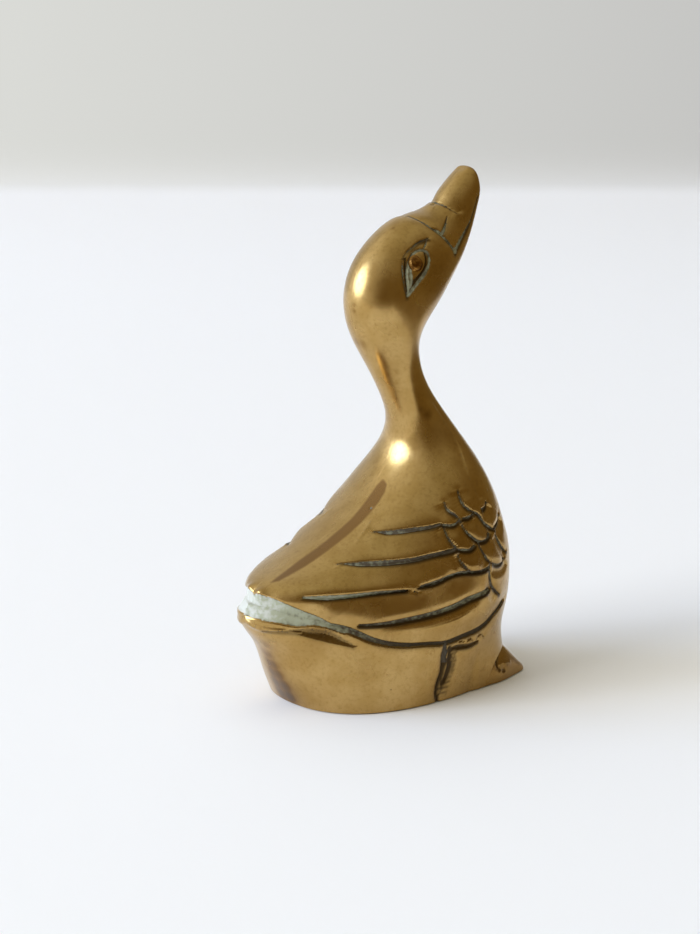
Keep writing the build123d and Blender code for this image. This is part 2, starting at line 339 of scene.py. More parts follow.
# Shoulders beside a chased line, in millimetres: width and depth above it, width and depth below
# it, and the power with which the lower one falls. A feather flares out downwards from under the
# one above with the fourth power, and rolls in sharply at its lower edge.
TOP_FEATHER = (1.0, 0.26, 5.0, 0.50, 4)
FEATHER = (0.9, 0.28, 5.0, 0.70, 4)
FEATHER_ROLL = (0.9, 0.28, 1.0, 0.0, 2)
FEATHER_LAP = (1.0, 0.0, 5.0, 1.2, 2)
LONG_FEATHER = (0.8, 0.28, 1.5, 0.76, 2)
WING_EDGE = (2.4, 0.55, 1.2, 0.26, 2)
SCALE = (0.7, 0.22, 2.0, 0.42, 4)
SOFT = (1.1, 0.22, 1.1, 0.22, 2)
FINE = (0.8, 0.12, 0.8, 0.12, 2)
PLAIN = (1.0, 0.0, 1.0, 0.0, 2)
LIP = (2.7, 1.10, 1.5, 0.80, 2)
BILL_ROOT = (1.7, 0.55, 1.5, 0.24, 2)
BREAST_STEP = (1.9, 0.30, 1.0, 0.0, 2)

# Chased lines of the right side. A line is drawn through pixels of the photograph. Then come
# half widths in millimetres, spread evenly along it, its depth, its shoulders, how pale its
# residue is along it, and how dark the painted shade on its lower side is. A pale value below
# zero leaves the residue out.
CHASED_LINES = (
    # quills, from the top
    (((374, 531), (386, 531), (401, 530), (417, 528), (429, 526.5), (440, 524)),
     (0.2, 0.4, 0.44, 0.4, 0.36, 0.32), 0.42, TOP_FEATHER, (0.45, 0.4, 0.25), 0.85),
    (((338, 563), (355, 562.5), (371, 562), (401, 560.5), (417, 558.5), (432, 555),
      (447, 552), (457, 549)),
     (0.2, 0.4, 0.5, 0.46, 0.4, 0.36), 0.48, FEATHER, (0.65, 0.35, 0.2), 0.9),
    (((303, 597), (322, 597.5), (345, 596.5), (371, 594), (390, 592.5), (410, 591.5)),
     (0.24, 0.46, 0.46, 0.44, 0.4, 0.32), 0.5, FEATHER_ROLL, (1.25, 1.15, 0.65, 0.35), 0.8),
    (((422.5, 587.5), (432, 585.5), (443, 582), (453, 577), (467, 573.5), (485, 571),
      (490, 568)),
     (0.36, 0.56, 0.52, 0.42, 0.36, 0.3), 0.55, FEATHER_ROLL, (0.4, 0.65, 0.4), 1.0),
    (((303, 597), (345, 596.5), (371, 594), (390, 592.5), (410, 590.5), (422, 588),
      (432, 585.5), (443, 582), (453, 577), (467, 573.5), (485, 571), (496, 567)),
     (0.4,), 0.0, FEATHER_LAP, (-1,), 0.0),
    (((360, 627), (386, 625), (409, 621), (432, 616), (447, 611.5), (462, 605.5),
      (470, 601.5), (485, 594), (491, 590)),
     (0.2, 0.34, 0.38, 0.42, 0.52, 0.58, 0.4), 0.55, LONG_FEATHER, (0.35, 0.45, 0.65, 0.6), 1.0),
    (((418.5, 593.5), (420, 594.5)), (0.3,), 0.25, FINE, (0.3,), 0.3),
    # burrs where the chisel set in
    (((371, 521), (366, 529), (361, 536), (357, 542)), (0.2, 0.36, 0.2), -0.15, PLAIN, (-1,), 0.0),
    (((347, 562.5), (341, 564.5), (336, 568)), (0.2, 0.34, 0.24), -0.18, PLAIN, (-1,), 0.0),
    # lower edge of the wing
    (((330, 627), (342, 629.5), (356, 634), (371, 640), (393, 645), (416, 645.5), (431, 644.5),
      (447, 643.5), (462, 638), (478, 631), (487, 624.5), (494, 616), (500, 608), (504, 601)),
     (0.4, 0.5, 0.5, 0.4, 0.34, 0.28, 0.32, 0.36, 0.36, 0.28, 0.2), 0.52, WING_EDGE,
     (0.7, 0.35, 0.1, 0.1, 0.3), 0.6),
    # line down the leg, with a smooth left side and a rough right one
    (((446.5, 645), (445.5, 652), (444.5, 661), (443.5, 671), (440, 681), (437.5, 690),
      (437.5, 701)),
     (0.4, 0.62, 0.62, 0.56, 0.5, 0.42, 0.42), 0.55, SOFT, (0.35, 0.15, -0.3, -0.6, -1), 1.0),
    (((451, 648), (450.5, 655), (450, 664), (448.5, 672), (445, 680), (441, 687)),
     (0.4, 0.62, 0.66, 0.6, 0.45, 0.2), 0.4, FINE, (-1,), 1.0),
    # rough curls under the wing's edge at the top of the leg
    (((453, 648.5), (459, 647), (465, 646.5), (472, 644.5), (478, 641)),
     (0.3, 0.42, 0.36, 0.3, 0.16), 0.26, FINE, (-1,), 0.75),
    (((460, 642.5), (463.5, 641), (465, 644.5), (461.5, 645.5)),
     (0.15, 0.2, 0.2), 0.2, FINE, (-1,), 0.45),
    (((467, 645), (469, 640.5), (472.5, 638.5), (474, 641.5)),
     (0.15, 0.2, 0.2), 0.2, FINE, (-1,), 0.45),
    (((476.5, 641), (479, 636.5), (482.5, 634), (484, 636)),
     (0.15, 0.2, 0.16), 0.18, FINE, (-1,), 0.4),
    # front edge of the wing, up to the neck
    (((433, 402), (439, 411), (446, 422), (453, 434), (459.6, 447), (465, 463), (470, 477.5),
      (476, 491), (480, 499)),
     (0.12, 0.2, 0.2, 0.2, 0.16), 0.02, BREAST_STEP, (-1,), 0.0),
    # bead along the lip of the tail, and the crease under it
    (((237, 614), (246, 621), (257, 627), (269, 630), (284, 631.5), (300, 633.5)),
     (0.8, 0.95, 0.9, 0.6, 0.4, 0.2), -0.42, PLAIN, (-1,), 0.0),
    (((262, 630), (272, 631.5), (284, 632), (298, 632.5), (312, 634), (326, 636.5),
      (340, 641), (354, 646.5)),
     (0.16, 0.22, 0.36, 0.7, 1.1, 1.15, 0.7, 0.25), 0.42, SOFT, (-1,), 0.5),
    # recess under the tips of the wings
    (((235, 601), (248, 604), (265, 608.5), (285, 615), (300, 619.5), (313, 621.5),
      (328, 626.5), (345, 632.5)),
     (2.0, 2.3, 2.3, 1.9, 1.6, 0.95, 0.5, 0.4), 0.45, LIP, (1.5, 1.35, 0.95, 0.9, 0.8), 0.25),
    # bill's root, the line above it and the mouth
    (((400, 213), (406, 214.5), (414, 217), (420, 220), (428, 225), (433, 228.5),
      (439, 232.5), (443.5, 236), (448.5, 241.5), (452.5, 247), (455.5, 251)),
     (0.14, 0.22, 0.2, 0.24, 0.32, 0.36), 0.25, SOFT, (0.55, 0.45, 0.75, 0.7), 0.5),
    (((425, 202), (430, 200.5), (436, 201.5), (442, 203.5), (448, 206.5), (453, 210),
      (458, 213)),
     (0.24, 0.28, 0.24, 0.18, 0.1), 0.28, BILL_ROOT, (0.85, 0.7, 0.1), 0.3),
    (((455.5, 252), (459, 244.5), (463, 236.5), (467, 229), (471, 221), (474, 212),
      (476.5, 203), (478, 197)),
     (0.5, 0.46, 0.3, 0.24, 0.22, 0.2), 0.32, FINE, (1.0, 0.8, 0.6, 0.5), 0.7),
    # nostril
    (((432.5, 227.5), (438, 230.5), (442, 233.5), (444.5, 229), (446, 223), (447.5, 216)),
     (0.16, 0.3, 0.4, 0.34, 0.2, 0.12), 0.34, FINE, (0.5, 1.0, 0.9, 0.1), 0.6),
    # teardrop round the eye, filled with residue, and the finer lines on both sides of it
    (((408.3, 295), (408.6, 287), (407.6, 278), (407.6, 269), (409.2, 260.5), (412.6, 254),
      (418.3, 250.2), (424.5, 250.2), (428.6, 254.5), (429.8, 261.5), (427.6, 269.5),
      (422.5, 277.5), (416.5, 285), (411.5, 291.5), (408.3, 296)),
     (0.3, 0.34, 0.34, 0.32, 0.32, 0.32, 0.36, 0.4, 0.42, 0.36), 0.26, FINE,
     (0.9, 0.8, 0.75, 0.85), 0.2),
    (((411.5, 262), (410.8, 268), (411.2, 275), (411.5, 282), (410, 289)),
     (0.2, 0.34, 0.4, 0.4, 0.2), 0.2, FINE, (0.8, 0.9, 0.8), 0.1),
    (((405.4, 258), (405, 266), (405.8, 276), (406.8, 286), (407.6, 294)),
     (0.12, 0.2, 0.2, 0.2, 0.14), 0.3, FINE, (-1,), 1.0),
    (((402.6, 258), (402.2, 266), (403, 276), (404.6, 286), (407, 297)),
     (0.12, 0.2, 0.22, 0.2, 0.16), 0.2, FINE, (0.6, 0.7, 0.5), 0.6),
    (((403.5, 257), (407.5, 251), (412, 247.2), (418.3, 242), (423, 239.8), (428, 238)),
     (0.12, 0.16, 0.18, 0.22, 0.16), 0.24, FINE, (0.1, 0.6, 0.2), 0.9),
    (((424.5, 248), (426.3, 243), (427.5, 239)), (0.2, 0.24, 0.16), 0.2, FINE, (0.8,), 0.3),
    (((425, 252.5), (426.4, 258), (426, 264.5), (423, 271.5), (417.5, 277.5), (413, 282)),
     (0.1, 0.16, 0.18, 0.14), 0.3, FINE, (-1,), 1.0),
)

# Short cuts across the leg's line: their two ends, half width and depth
LEG_CUTS = (
    ((451, 653), (456.5, 650.5), 0.16, 0.14), ((451, 657), (456, 655), 0.15, 0.14),
    ((451, 661), (456, 659), 0.15, 0.14), ((450.5, 665), (455, 663.5), 0.15, 0.14),
    ((450, 669), (454.5, 667.5), 0.14, 0.14), ((449, 673), (453, 671.5), 0.14, 0.14),
    ((447, 677.5), (451, 676), 0.14, 0.14), ((445, 682), (449.5, 680.5), 0.14, 0.16),
    ((443, 686.5), (448, 685.5), 0.14, 0.16), ((441, 691.5), (446.5, 691), 0.14, 0.16),
)
# The cuts' shoulders, no residue, and the strength of the painted shade under them
CUT_FORM = (FINE, (-1,), 0.6)

# Notch behind the toe, chased into the toe itself, and the bead that it turns round
TOE_LINES = (
    (((497.5, 655.5), (497, 661), (497.5, 666), (500, 668.5), (505, 669.2)),
     (0.22, 0.34, 0.32, 0.22, 0.12), 0.36, FINE, (-1,), 0.6),
    (((500, 664.3), (503, 662.8), (506, 663.9), (510, 662.4)),
     (0.26, 0.42, 0.3), -0.42, PLAIN, (-1,), 0.0),
)

# Edges of the small feather scales, all of one form
SCALE_LINES = (
    ((444.5, 502), (448, 509), (455, 514), (461, 519)),
    ((458, 490), (461, 498), (465, 505), (473, 511)),
    ((474, 513.5), (470, 517), (463.5, 518)),
    ((473, 511), (479, 514), (484, 520.5), (491, 527), (495, 529)),
    ((482, 509), (485.5, 508), (487, 502)),
    ((495, 527), (498, 523), (499, 514)),
    ((496, 530), (499, 538), (503, 546), (506.5, 551)),
    ((461, 520), (464, 526), (470, 534), (475, 538), (480, 541), (485, 541), (490, 537),
     (491, 533)),
    ((441.5, 523), (445, 527), (448, 535), (452, 542), (457, 547)),
    ((441, 524), (450, 525), (456, 524), (460, 520)),
    ((457, 549), (466, 550), (473, 549), (477, 545)),
    ((480, 542), (484, 550), (488, 558), (491, 562)),
    ((493, 563), (499, 565), (503.5, 563), (505, 558)),
    ((459, 551), (462, 561), (467, 567), (471, 571)),
    ((491, 562), (491.5, 575), (494, 587), (500, 594)),
)
# Half widths, depth, shoulders, paleness of the residue and strength of the painted shade under
# them
SCALE_FORM = ((0.18, 0.27, 0.27, 0.22), 0.26, SCALE, (0.45, 0.6, 0.35), 0.9)

# Pits and lumps of the right side: pixel, size and depth in millimetres, and how pale its residue
# is. A depth below zero is a lump.
PITS = (
    ((371, 508), 0.24, 0.16, 0.9), ((488, 490), 0.2, 0.14, 0.6), ((389.5, 657), 0.16, 0.1, 0.1),
    ((391, 690), 0.14, 0.1, 0.1), ((461, 651), 0.14, 0.1, 0.1), ((411, 676), 0.12, 0.08, 0.1),
    ((449, 248), 0.75, -0.2, 0.0), ((445.5, 684), 0.36, -0.14, 0.0),
    ((443.5, 689.5), 0.36, -0.14, 0.0), ((448, 688), 0.34, -0.1, 0.0),
    ((443, 695), 0.34, -0.12, 0.0),
)

# Lumps and dents of both sides, in millimetres: place on the right side, size and depth. They are
# the tip of the wing, the notch between the two tips, the worn end of the tail's lip and the worn
# corner of the bill's tip.
FORM_DENTS = (
    ((-25.2, -1.9, 21.9), 1.3, -0.64), ((-24.9, 0.0, 22.0), 0.7, 0.25),
    ((-26.7, 0.0, 16.4), 1.0, 0.16), ((19.6, -0.3, 89.9), 0.8, 0.3),
)

# Outline of the brown filler that was left to spill over the middle of the back
SPILL_OUTLINE = (
    (383, 479), (387, 484), (385, 492), (379, 502), (371, 512), (361, 523), (349, 534),
    (336, 544.5), (322, 555), (306, 566), (292, 574), (279, 581), (270, 583), (276, 578),
    (288, 569), (301, 559), (314, 550), (327, 540), (340, 529), (352, 518), (362, 506),
    (370, 495), (377, 485),
)

# Brown tarnish in small spots, and larger soft patches of painted shade and painted dark
# reflection on the cheek, over the wing and its feather bands and in the tail's crease: where,
# how large in millimetres and how strong
TARNISH_AND_SHADE_SPOTS = (
    ((362.7, 344), 0.9, 0.6), ((427, 415), 1.0, 0.8), ((419, 410), 0.5, 0.6),
    ((397, 383), 0.6, 0.4), ((440, 436), 2.6, 0.45), ((437, 300), 4.0, 0.35),
    ((440, 270), 4.0, 0.3), ((365, 268), 2.2, 0.25), ((395, 222), 1.5, 0.3),
    ((470, 560), 6.0, 0.4), ((380, 610), 6.0, 0.35), ((415, 540), 5.0, 0.3),
    ((262, 590), 1.0, 0.5), ((320, 634), 2.5, 0.6), ((354, 305), 0.4, 0.8),
    ((486, 676), 3.6, 0.45), ((478, 690), 3.6, 0.4), ((468, 697), 3.4, 0.3),
    ((350, 611), 3.4, 0.3), ((375, 616), 3.4, 0.4), ((398, 615), 3.2, 0.4), ((424, 610), 3.0, 0.4),
    ((354, 311), 0.4, 0.8), ((393, 228), 0.4, 0.8),
    ((269.5, 609), 0.6, 0.5), ((421, 410), 0.7, 0.7), ((397, 372), 0.5, 0.5),
)

# A broad brown band of painted dark reflection down the stern, on both sides of the seam: pixel,
# size and strength
STERN_REFLECTION_SPOTS = (
    ((266, 645), 1.3, 0.7), ((269, 655), 1.6, 0.95), ((273.5, 665), 1.8, 1.15),
    ((278, 675), 2.0, 1.3), ((284, 686), 2.2, 1.45), ((289, 696), 2.1, 1.5),
)

# How the chasing is worked out. Residue and the painted shade are fields that the mesh carries.
LINE_STEP = 2.5  # pixels from point to point along a line
MOST_STEPS = 3  # steps of the grid within which a pixel is looked for
LINE_REACH = 1.7  # how far out a line is felt, by the largest of its widths
FLOOR_FALL = 2.0  # how fast a floor's bell falls: e to the power of minus this times the square
FLAT_PALENESS = 1.1  # residue paler than this lies on a flat floor,
FLAT_FROM = (0.8, 1.6)  # which comes in between these half widths, in millimetres,
FLOOR_END = (0.8, 1.08)  # and has its side between these shares of the half width
SIDES_BLEND = 0.5  # downward share of the step to a point, from which it is all below the line,
LINE_CORE = 0.3  # and the distance in millimetres within which both of a line's sides blend
LAP_FADE = 0.2  # share of a line over which its lower shoulder fades at both ends,
LAP_FADE_END = 1.3  # so many times faster at its far end
LAP_EDGE = 0.8  # share of the reach from which the lower shoulder fades aside
LAP_POWER = 4  # the power by which the lower shoulders of several lines add up
SHADE_DROP = 0.35  # how much lower than its line the painted shade lies, in millimetres
SHADE_FALL = 1.6  # how fast the painted shade falls off, as above
SHADE_FLOOR = 0.9  # how fast it does on a floor without residue
PIT_EDGE = 1.2  # edge of the residue in a pit, by the pit's size
LEFT_PALENESS = 0.4  # how much paler the residue of the left side is
LEFT_SPOTS = 7  # how many of the tarnish and painted-shade spots the left side has too

# What the meshes carry for their materials, with its value on bare metal: how far inside the
# residue in millimetres, how pale that is, the painted shade under the lines, how far inside the
# spill in pixels, and tarnish with painted shade and painted dark reflection
BARE_METAL = {"filled": -1.0, "pale": 0.0, "groove_shade": 0.0, "spill": -20.0, "stain_and_shade": 0.0}


def smooth_line(points):
    """A curve through given points: a natural spline over their distances apart."""
    points = np.array(points, float)
    if len(points) < 3:
        return points
    places = running(np.hypot(*np.diff(points, axis=0).T))
    at = np.linspace(0, places[-1], max(4, int(places[-1] / LINE_STEP) + 1))
    return natural_spline(places, points, at)


def finder(points, normals):
    """Finds the place on a surface under a pixel: the nearest grid point that faces the camera,
    moved along the grid's own steps until it shows at the pixel."""
    seen = photo_pixels(points)
    facing = np.argwhere(facing_camera(points, normals))
    shown = seen[tuple(facing.T)]

    def find(pixel):
        """The place under one pixel."""
        nearest = np.argmin(np.sum((shown - pixel) ** 2, axis=1))
        row, column = np.clip(facing[nearest], 1, np.array(seen.shape[:2]) - 2)
        steps, moves = (
            np.stack([
                grid[row + 1, column] - grid[row - 1, column],
                grid[row, column + 1] - grid[row, column - 1],
            ]) / 2
            for grid in (points, seen)
        )
        share = np.linalg.lstsq(moves.T, pixel - seen[row, column], rcond=1e-3)[0]
        return points[row, column] + np.clip(share, -MOST_STEPS, MOST_STEPS) @ steps

    return find


def line_distance(points, line):
    """Distance of points to the nearest place of a line, that place as a share of the line, and
    the step from it to the point."""
    nearest = np.full(len(points), np.inf)
    share = np.zeros(len(points))
    steps = np.zeros_like(points)
    pieces = max(len(line) - 1, 1)
    for number, (start, end) in enumerate(zip(line[:-1], line[1:])):
        step = end - start
        along = np.clip((points - start) @ step / max(step @ step, 1e-9), 0, 1)
        apart = points - start - along[:, None] * step
        distance = np.linalg.norm(apart, axis=1)
        closer = distance < nearest
        nearest[closer] = distance[closer]
        share[closer] = (number + along[closer]) / pieces
        steps[closer] = apart[closer]
    return nearest, share, steps


def smooth_step(low, high, value):
    """Rises from 0 to 1 between two values as 3t squared less 2t cubed."""
    at = np.clip((value - low) / (high - low), 0, 1)
    return at * at * (3 - 2 * at)


def spread(values, share):
    """Values spread evenly along a line, at shares of it."""
    return np.interp(share, np.linspace(0, 1, len(values)), values)


def chased_lines(find, marks):
    """Chased lines as curves on a surface, with their sizes."""
    return [
        (np.array([find(pixel) for pixel in smooth_line(pixels)]), *sizes)
        for pixels, *sizes in marks
    ]


def chase(points, lines, wobble):
    """Depth of the chasing at each point, how far in millimetres it lies inside the residue, how
    pale that is, and how strong the painted shade on it is.

    A line's floor is a bell over its half width, and a wide one has a flat floor with steep
    sides. A depth below zero raises the metal. The shoulder above a line is a wider bell, and
    the one below falls with its own power and fades at the line's ends."""
    places = points.reshape(-1, 3)
    floor, raised, rims, laps, pale, groove_shade = np.zeros((6, len(places)))
    filled = np.full(len(places), BARE_METAL["filled"])
    for line, half_widths, depth, shoulder, paleness, shade_strength in lines:
        line = line + wobble(line)
        reach = LINE_REACH * max(*half_widths, shoulder[0], shoulder[2])
        low, high = line.min(axis=0) - reach, line.max(axis=0) + reach
        near = np.nonzero(np.all((places > low) & (places < high), axis=1))[0]
        distance, share, steps = line_distance(places[near], line)
        widths = spread(half_widths, share)
        taper = np.minimum(widths / max(half_widths), 1) ** 0.5
        measure = distance / widths
        round_floor = np.exp(-FLOOR_FALL * measure**2)
        flat_floor = 1 - smooth_step(*FLOOR_END, measure)
        flat = smooth_step(*FLAT_FROM, max(half_widths)) * (max(paleness) > FLAT_PALENESS)
        cut = (round_floor * (1 - flat) + flat_floor * flat) * depth * taper
        floor[near] = np.maximum(floor[near], cut)
        raised[near] = np.minimum(raised[near], cut)
        down = -steps[:, 2] / np.maximum(distance, LINE_CORE)
        under = smooth_step(-SIDES_BLEND, SIDES_BLEND, down)
        fade = smooth_step(0, LAP_FADE, np.minimum(share, LAP_FADE_END * (1 - share)))
        above = shoulder[1] * np.exp(-((distance / shoulder[0]) ** 2))
        below = shoulder[3] * np.exp(-((distance / shoulder[2]) ** shoulder[4])) * fade
        below *= 1 - smooth_step(LAP_EDGE, 1, distance / reach)
        rims[near] = np.maximum(rims[near], above * (1 - under) * taper)
        laps[near] += (below * under * taper) ** LAP_POWER
        tone = spread(paleness, share)
        # Painted shade under the line, on its lower side
        low_side = np.linalg.norm(steps + (0, 0, SHADE_DROP), axis=1) / (widths + SHADE_DROP)
        on_floor = np.minimum(low_side, SHADE_FLOOR * measure**2)
        low_side = np.where(tone > 0, low_side, on_floor)
        groove_shade[near] = np.maximum(groove_shade[near], shade_strength * np.exp(-SHADE_FALL * low_side**2))
        edge = np.where(tone > 0, widths - distance, np.minimum(widths - distance, -1 - tone))
        better = edge > filled[near]
        filled[near[better]] = edge[better]
        pale[near[better]] = tone[better]
    depth = floor + raised + rims + laps ** (1 / LAP_POWER)
    return [field.reshape(points.shape[:2]) for field in (depth, filled, pale, groove_shade)]


def toe_sections(along):
    """Half width, height and place aside of the toe's sections, at shares of its length."""
    shares = np.array(TOE_SHARES)
    _, side, width, height = natural_spline(shares[:, 0], shares, along).T
    half = (TOE_TIP_WIDTH + width * (TOE_WIDTH - TOE_TIP_WIDTH)) / 2
    top = TOE_TIP_HEIGHT + height * (TOE_HEIGHT - TOE_TIP_HEIGHT)
    return half, top, side * (BODY_WIDTH / 2 - TOE_INSET)


def toe_distance(points):
    """Rough distance of points on the right side from the toe's skin, negative inside it: a
    section is taken as the arch where the 2.4th powers of the shares aside and up add up to 1."""
    x, y, z = points.reshape(-1, 3).T
    along = (x - LENGTH / 2) / TOE_LENGTH + 1
    half, top, side = toe_sections(np.clip(along, 0, 1))
    power = 2.4
    share = (np.abs((y + side) / half) ** power + np.abs(z / top) ** power) ** (1 / power)
    beyond = np.maximum(np.maximum(along - 1, -along), 0) * TOE_LENGTH
    return ((share - 1) * np.minimum(half, top) + beyond).reshape(points.shape[:-1])


def toe_push(distance):
    """How far a skin is drawn out where another one meets it: a quarter of the blend's reach
    times the square of what is left of the reach."""
    return TOE_BLEND / 4 * np.maximum(1 - np.abs(distance) / TOE_BLEND, 0) ** 2


HAND_FINISH = 0.012
HAND_WOBBLE = 0.25


def hand_finish(points):
    """Depth of the uneven dressing by hand, up to 0.04 mm: the sum of a few long waves across
    each other, lifted by their heights so that it stays above zero."""
    x, y, z = np.moveaxis(points, 2, 0)
    waves = (
        np.sin(x / 2.9 + 0.7 * np.sin(z / 5.1) + 0.4)
        + np.sin(z / 3.7 + y / 6.3 + 1.3)
        + np.sin((x + z) / 1.9 + y / 2.7)
        + 0.6 * np.sin((x - 1.4 * z + y) / 1.15)
    )
    return HAND_FINISH * (waves + 3 + 0.6) / 2


def no_wobble(line):
    """The right side lies as the photograph shows it."""
    return 0 * line


def hand_wobble(line):
    """The left side is chased by eye, so its lines stray by up to 0.25 mm from the right's."""
    x, _, z = line.T
    stray = np.stack([np.sin(z / 3.1 + 1), 0 * x, np.sin(x / 4.3 + z / 2.9)], axis=1)
    return HAND_WOBBLE * stray


def outline_edge(pixels, outline):
    """Signed distance in pixels to a closed outline, positive inside it."""
    flat = pixels.reshape(-1, 2)
    corners = np.array(outline, float)
    nearest = line_distance(flat, np.concatenate([corners, corners[:1]]))[0]
    inside = np.zeros(len(flat), bool)
    for start, end in zip(corners, np.roll(corners, -1, axis=0)):
        spans = (start[1] > flat[:, 1]) != (end[1] > flat[:, 1])
        rise = end[1] - start[1] if end[1] != start[1] else 1
        crossing = start[0] + (flat[:, 1] - start[1]) * (end[0] - start[0]) / rise
        inside ^= spans & (flat[:, 0] < crossing)
    return np.where(inside, nearest, -nearest).reshape(pixels.shape[:-1])


def spill_edge(points, normals):
    """Signed distance in pixels to the edge of the filler's spill on the back."""
    edge = outline_edge(photo_pixels(points), SPILL_OUTLINE)
    return np.where(facing_camera(points, normals), edge, BARE_METAL["spill"])


def bell(points, place, size):
    """A round bell about a place: e to the power of minus the square of distance over size."""
    return np.exp(-(np.linalg.norm(points - place, axis=-1) / size) ** 2)


def tarnish_and_shade(points, spots):
    """Strength of the brown tarnish and the painted shade: soft round spots, the strongest of which
    counts.
    """
    return np.max([amount * bell(points, place, size) for place, size, amount in spots], axis=0)


def hollow_grid(at, columns):
    """The wall of the hollow on the right side, drawn in from the outlines of the outer form."""
    shares = np.array(HOLLOW_SHARES)
    numbers = shares[:, 0].astype(int)
    insets = natural_spline(PLACES[numbers], shares[:, 1:] * WALL, at)
    rows = natural_spline(PLACES, FORM, at)
    rows[:, 0:2] += insets[:, 0:2]
    rows[:, 2:4] -= insets[:, 2:4]
    rows[:, 4] -= insets[:, 4]
    inner = outline_points(rows, 0.0, 1.0, columns)
    inner[0, :, 2] = PLATE_THICKNESS
    top = outline_points(rows[-1:], SEAM / 2, 0.0, columns)
    return inner, top


def half_faces(outer_rows, first_inner, inner_picks, columns):
    """Faces of a half: one grid down the outer skin, under the rim and up the hollow, and the
    flat face on the middle plane between the two ends of its columns."""
    chain_rows = outer_rows + 2 + len(inner_picks) + 1
    number = np.arange(chain_rows * columns).reshape(chain_rows, columns)
    quads = np.stack([
        number[:-1, :-1], number[:-1, 1:], number[1:, 1:], number[1:, :-1]
    ], axis=-1).reshape(-1, 4)
    outer_front, outer_back = number[outer_rows - 1::-1, 0], number[outer_rows - 1::-1, -1]
    (rim_front, rim_back), (ledge_front, ledge_back) = number[outer_rows:outer_rows + 2, [0, -1]]
    inner_front, inner_back = number[outer_rows + 2:-1, [0, -1]].T
    last, tip = inner_picks[-1], outer_rows - 2
    flats = [
        (outer_front[row], outer_back[row], outer_back[row + 1], outer_front[row + 1])
        for row in range(last + 1, tip)
    ]
    flats.append([outer_front[tip], outer_back[tip], *number[0, ::-1]])
    flats.append([
        outer_front[last], inner_front[-1], *number[-1], inner_back[-1],
        *outer_back[last:last + 2], outer_front[last + 1],
    ])
    for step, (low, high) in enumerate(zip(inner_picks[:-1], inner_picks[1:])):
        flats += [
            [outer_front[low], *inner_front[step:step + 2], *outer_front[high:low:-1]],
            [inner_back[step], *outer_back[low:high + 1], inner_back[step + 1]],
        ]
    flats.append([
        outer_front[0], rim_front, ledge_front, inner_front[0], *outer_front[first_inner:0:-1],
    ])
    flats.append([rim_back, *outer_back[:first_inner + 1], inner_back[0], ledge_back])
    return quads, flats


def put_in_scene(name, content):
    """An object of the scene from a mesh, a lamp or a camera."""
    thing = bpy.data.objects.new(name, content)
    bpy.context.scene.collection.objects.link(thing)
    return thing


def build_mesh(name, points, faces, smooth_count=None, normals=None, fields=None):
    """A mesh object from points in millimetres and faces. The first smooth_count faces are
    shaded smooth, with the given normals where they are known."""
    mesh = bpy.data.meshes.new(name)
    faces = [[int(corner) for corner in face] for face in faces]
    mesh.from_pydata((points.reshape(-1, 3) * MILLIMETRE).tolist(), [], faces)
    smooth_count = len(faces) if smooth_count is None else smooth_count
    mesh.polygons.foreach_set("use_smooth", np.arange(len(faces)) < smooth_count)
    for field, values in (fields or {}).items():
        layer = mesh.attributes.new(field, "FLOAT", "POINT")
        layer.data.foreach_set("value", values.astype(np.float32).ravel())
    mesh.update()
    if normals is not None:
        corners = np.zeros(len(mesh.loops), int)
        mesh.loops.foreach_get("vertex_index", corners)
        given = normals.reshape(-1, 3)[corners]
        starts = np.zeros(len(faces), int)
        mesh.polygons.foreach_get("loop_start", starts)
        if smooth_count < len(faces):
            given[starts[smooth_count]:] = 0
        mesh.normals_split_custom_set(given.tolist())
    return put_in_scene(name, mesh)


COLUMNS = column_shares()
SKIN, STATIONS = skin_grid(COLUMNS)
SKIN_NORMALS = grid_normals(SKIN)
find_on_skin = finder(SKIN, SKIN_NORMALS)
TARNISH_AND_SHADE_PLACES, STERN_REFLECTION_PLACES, PIT_PLACES = (
    [(find_on_skin(pixel), *sizes) for pixel, *sizes in marks]
    for marks in (TARNISH_AND_SHADE_SPOTS, STERN_REFLECTION_SPOTS, PITS)
)
LINES = chased_lines(find_on_skin, [
    *CHASED_LINES,
    *((pixels, *SCALE_FORM) for pixels in SCALE_LINES),
    *(((start, end), (half_width,), depth, *CUT_FORM)
      for start, end, half_width, depth in LEG_CUTS),
])


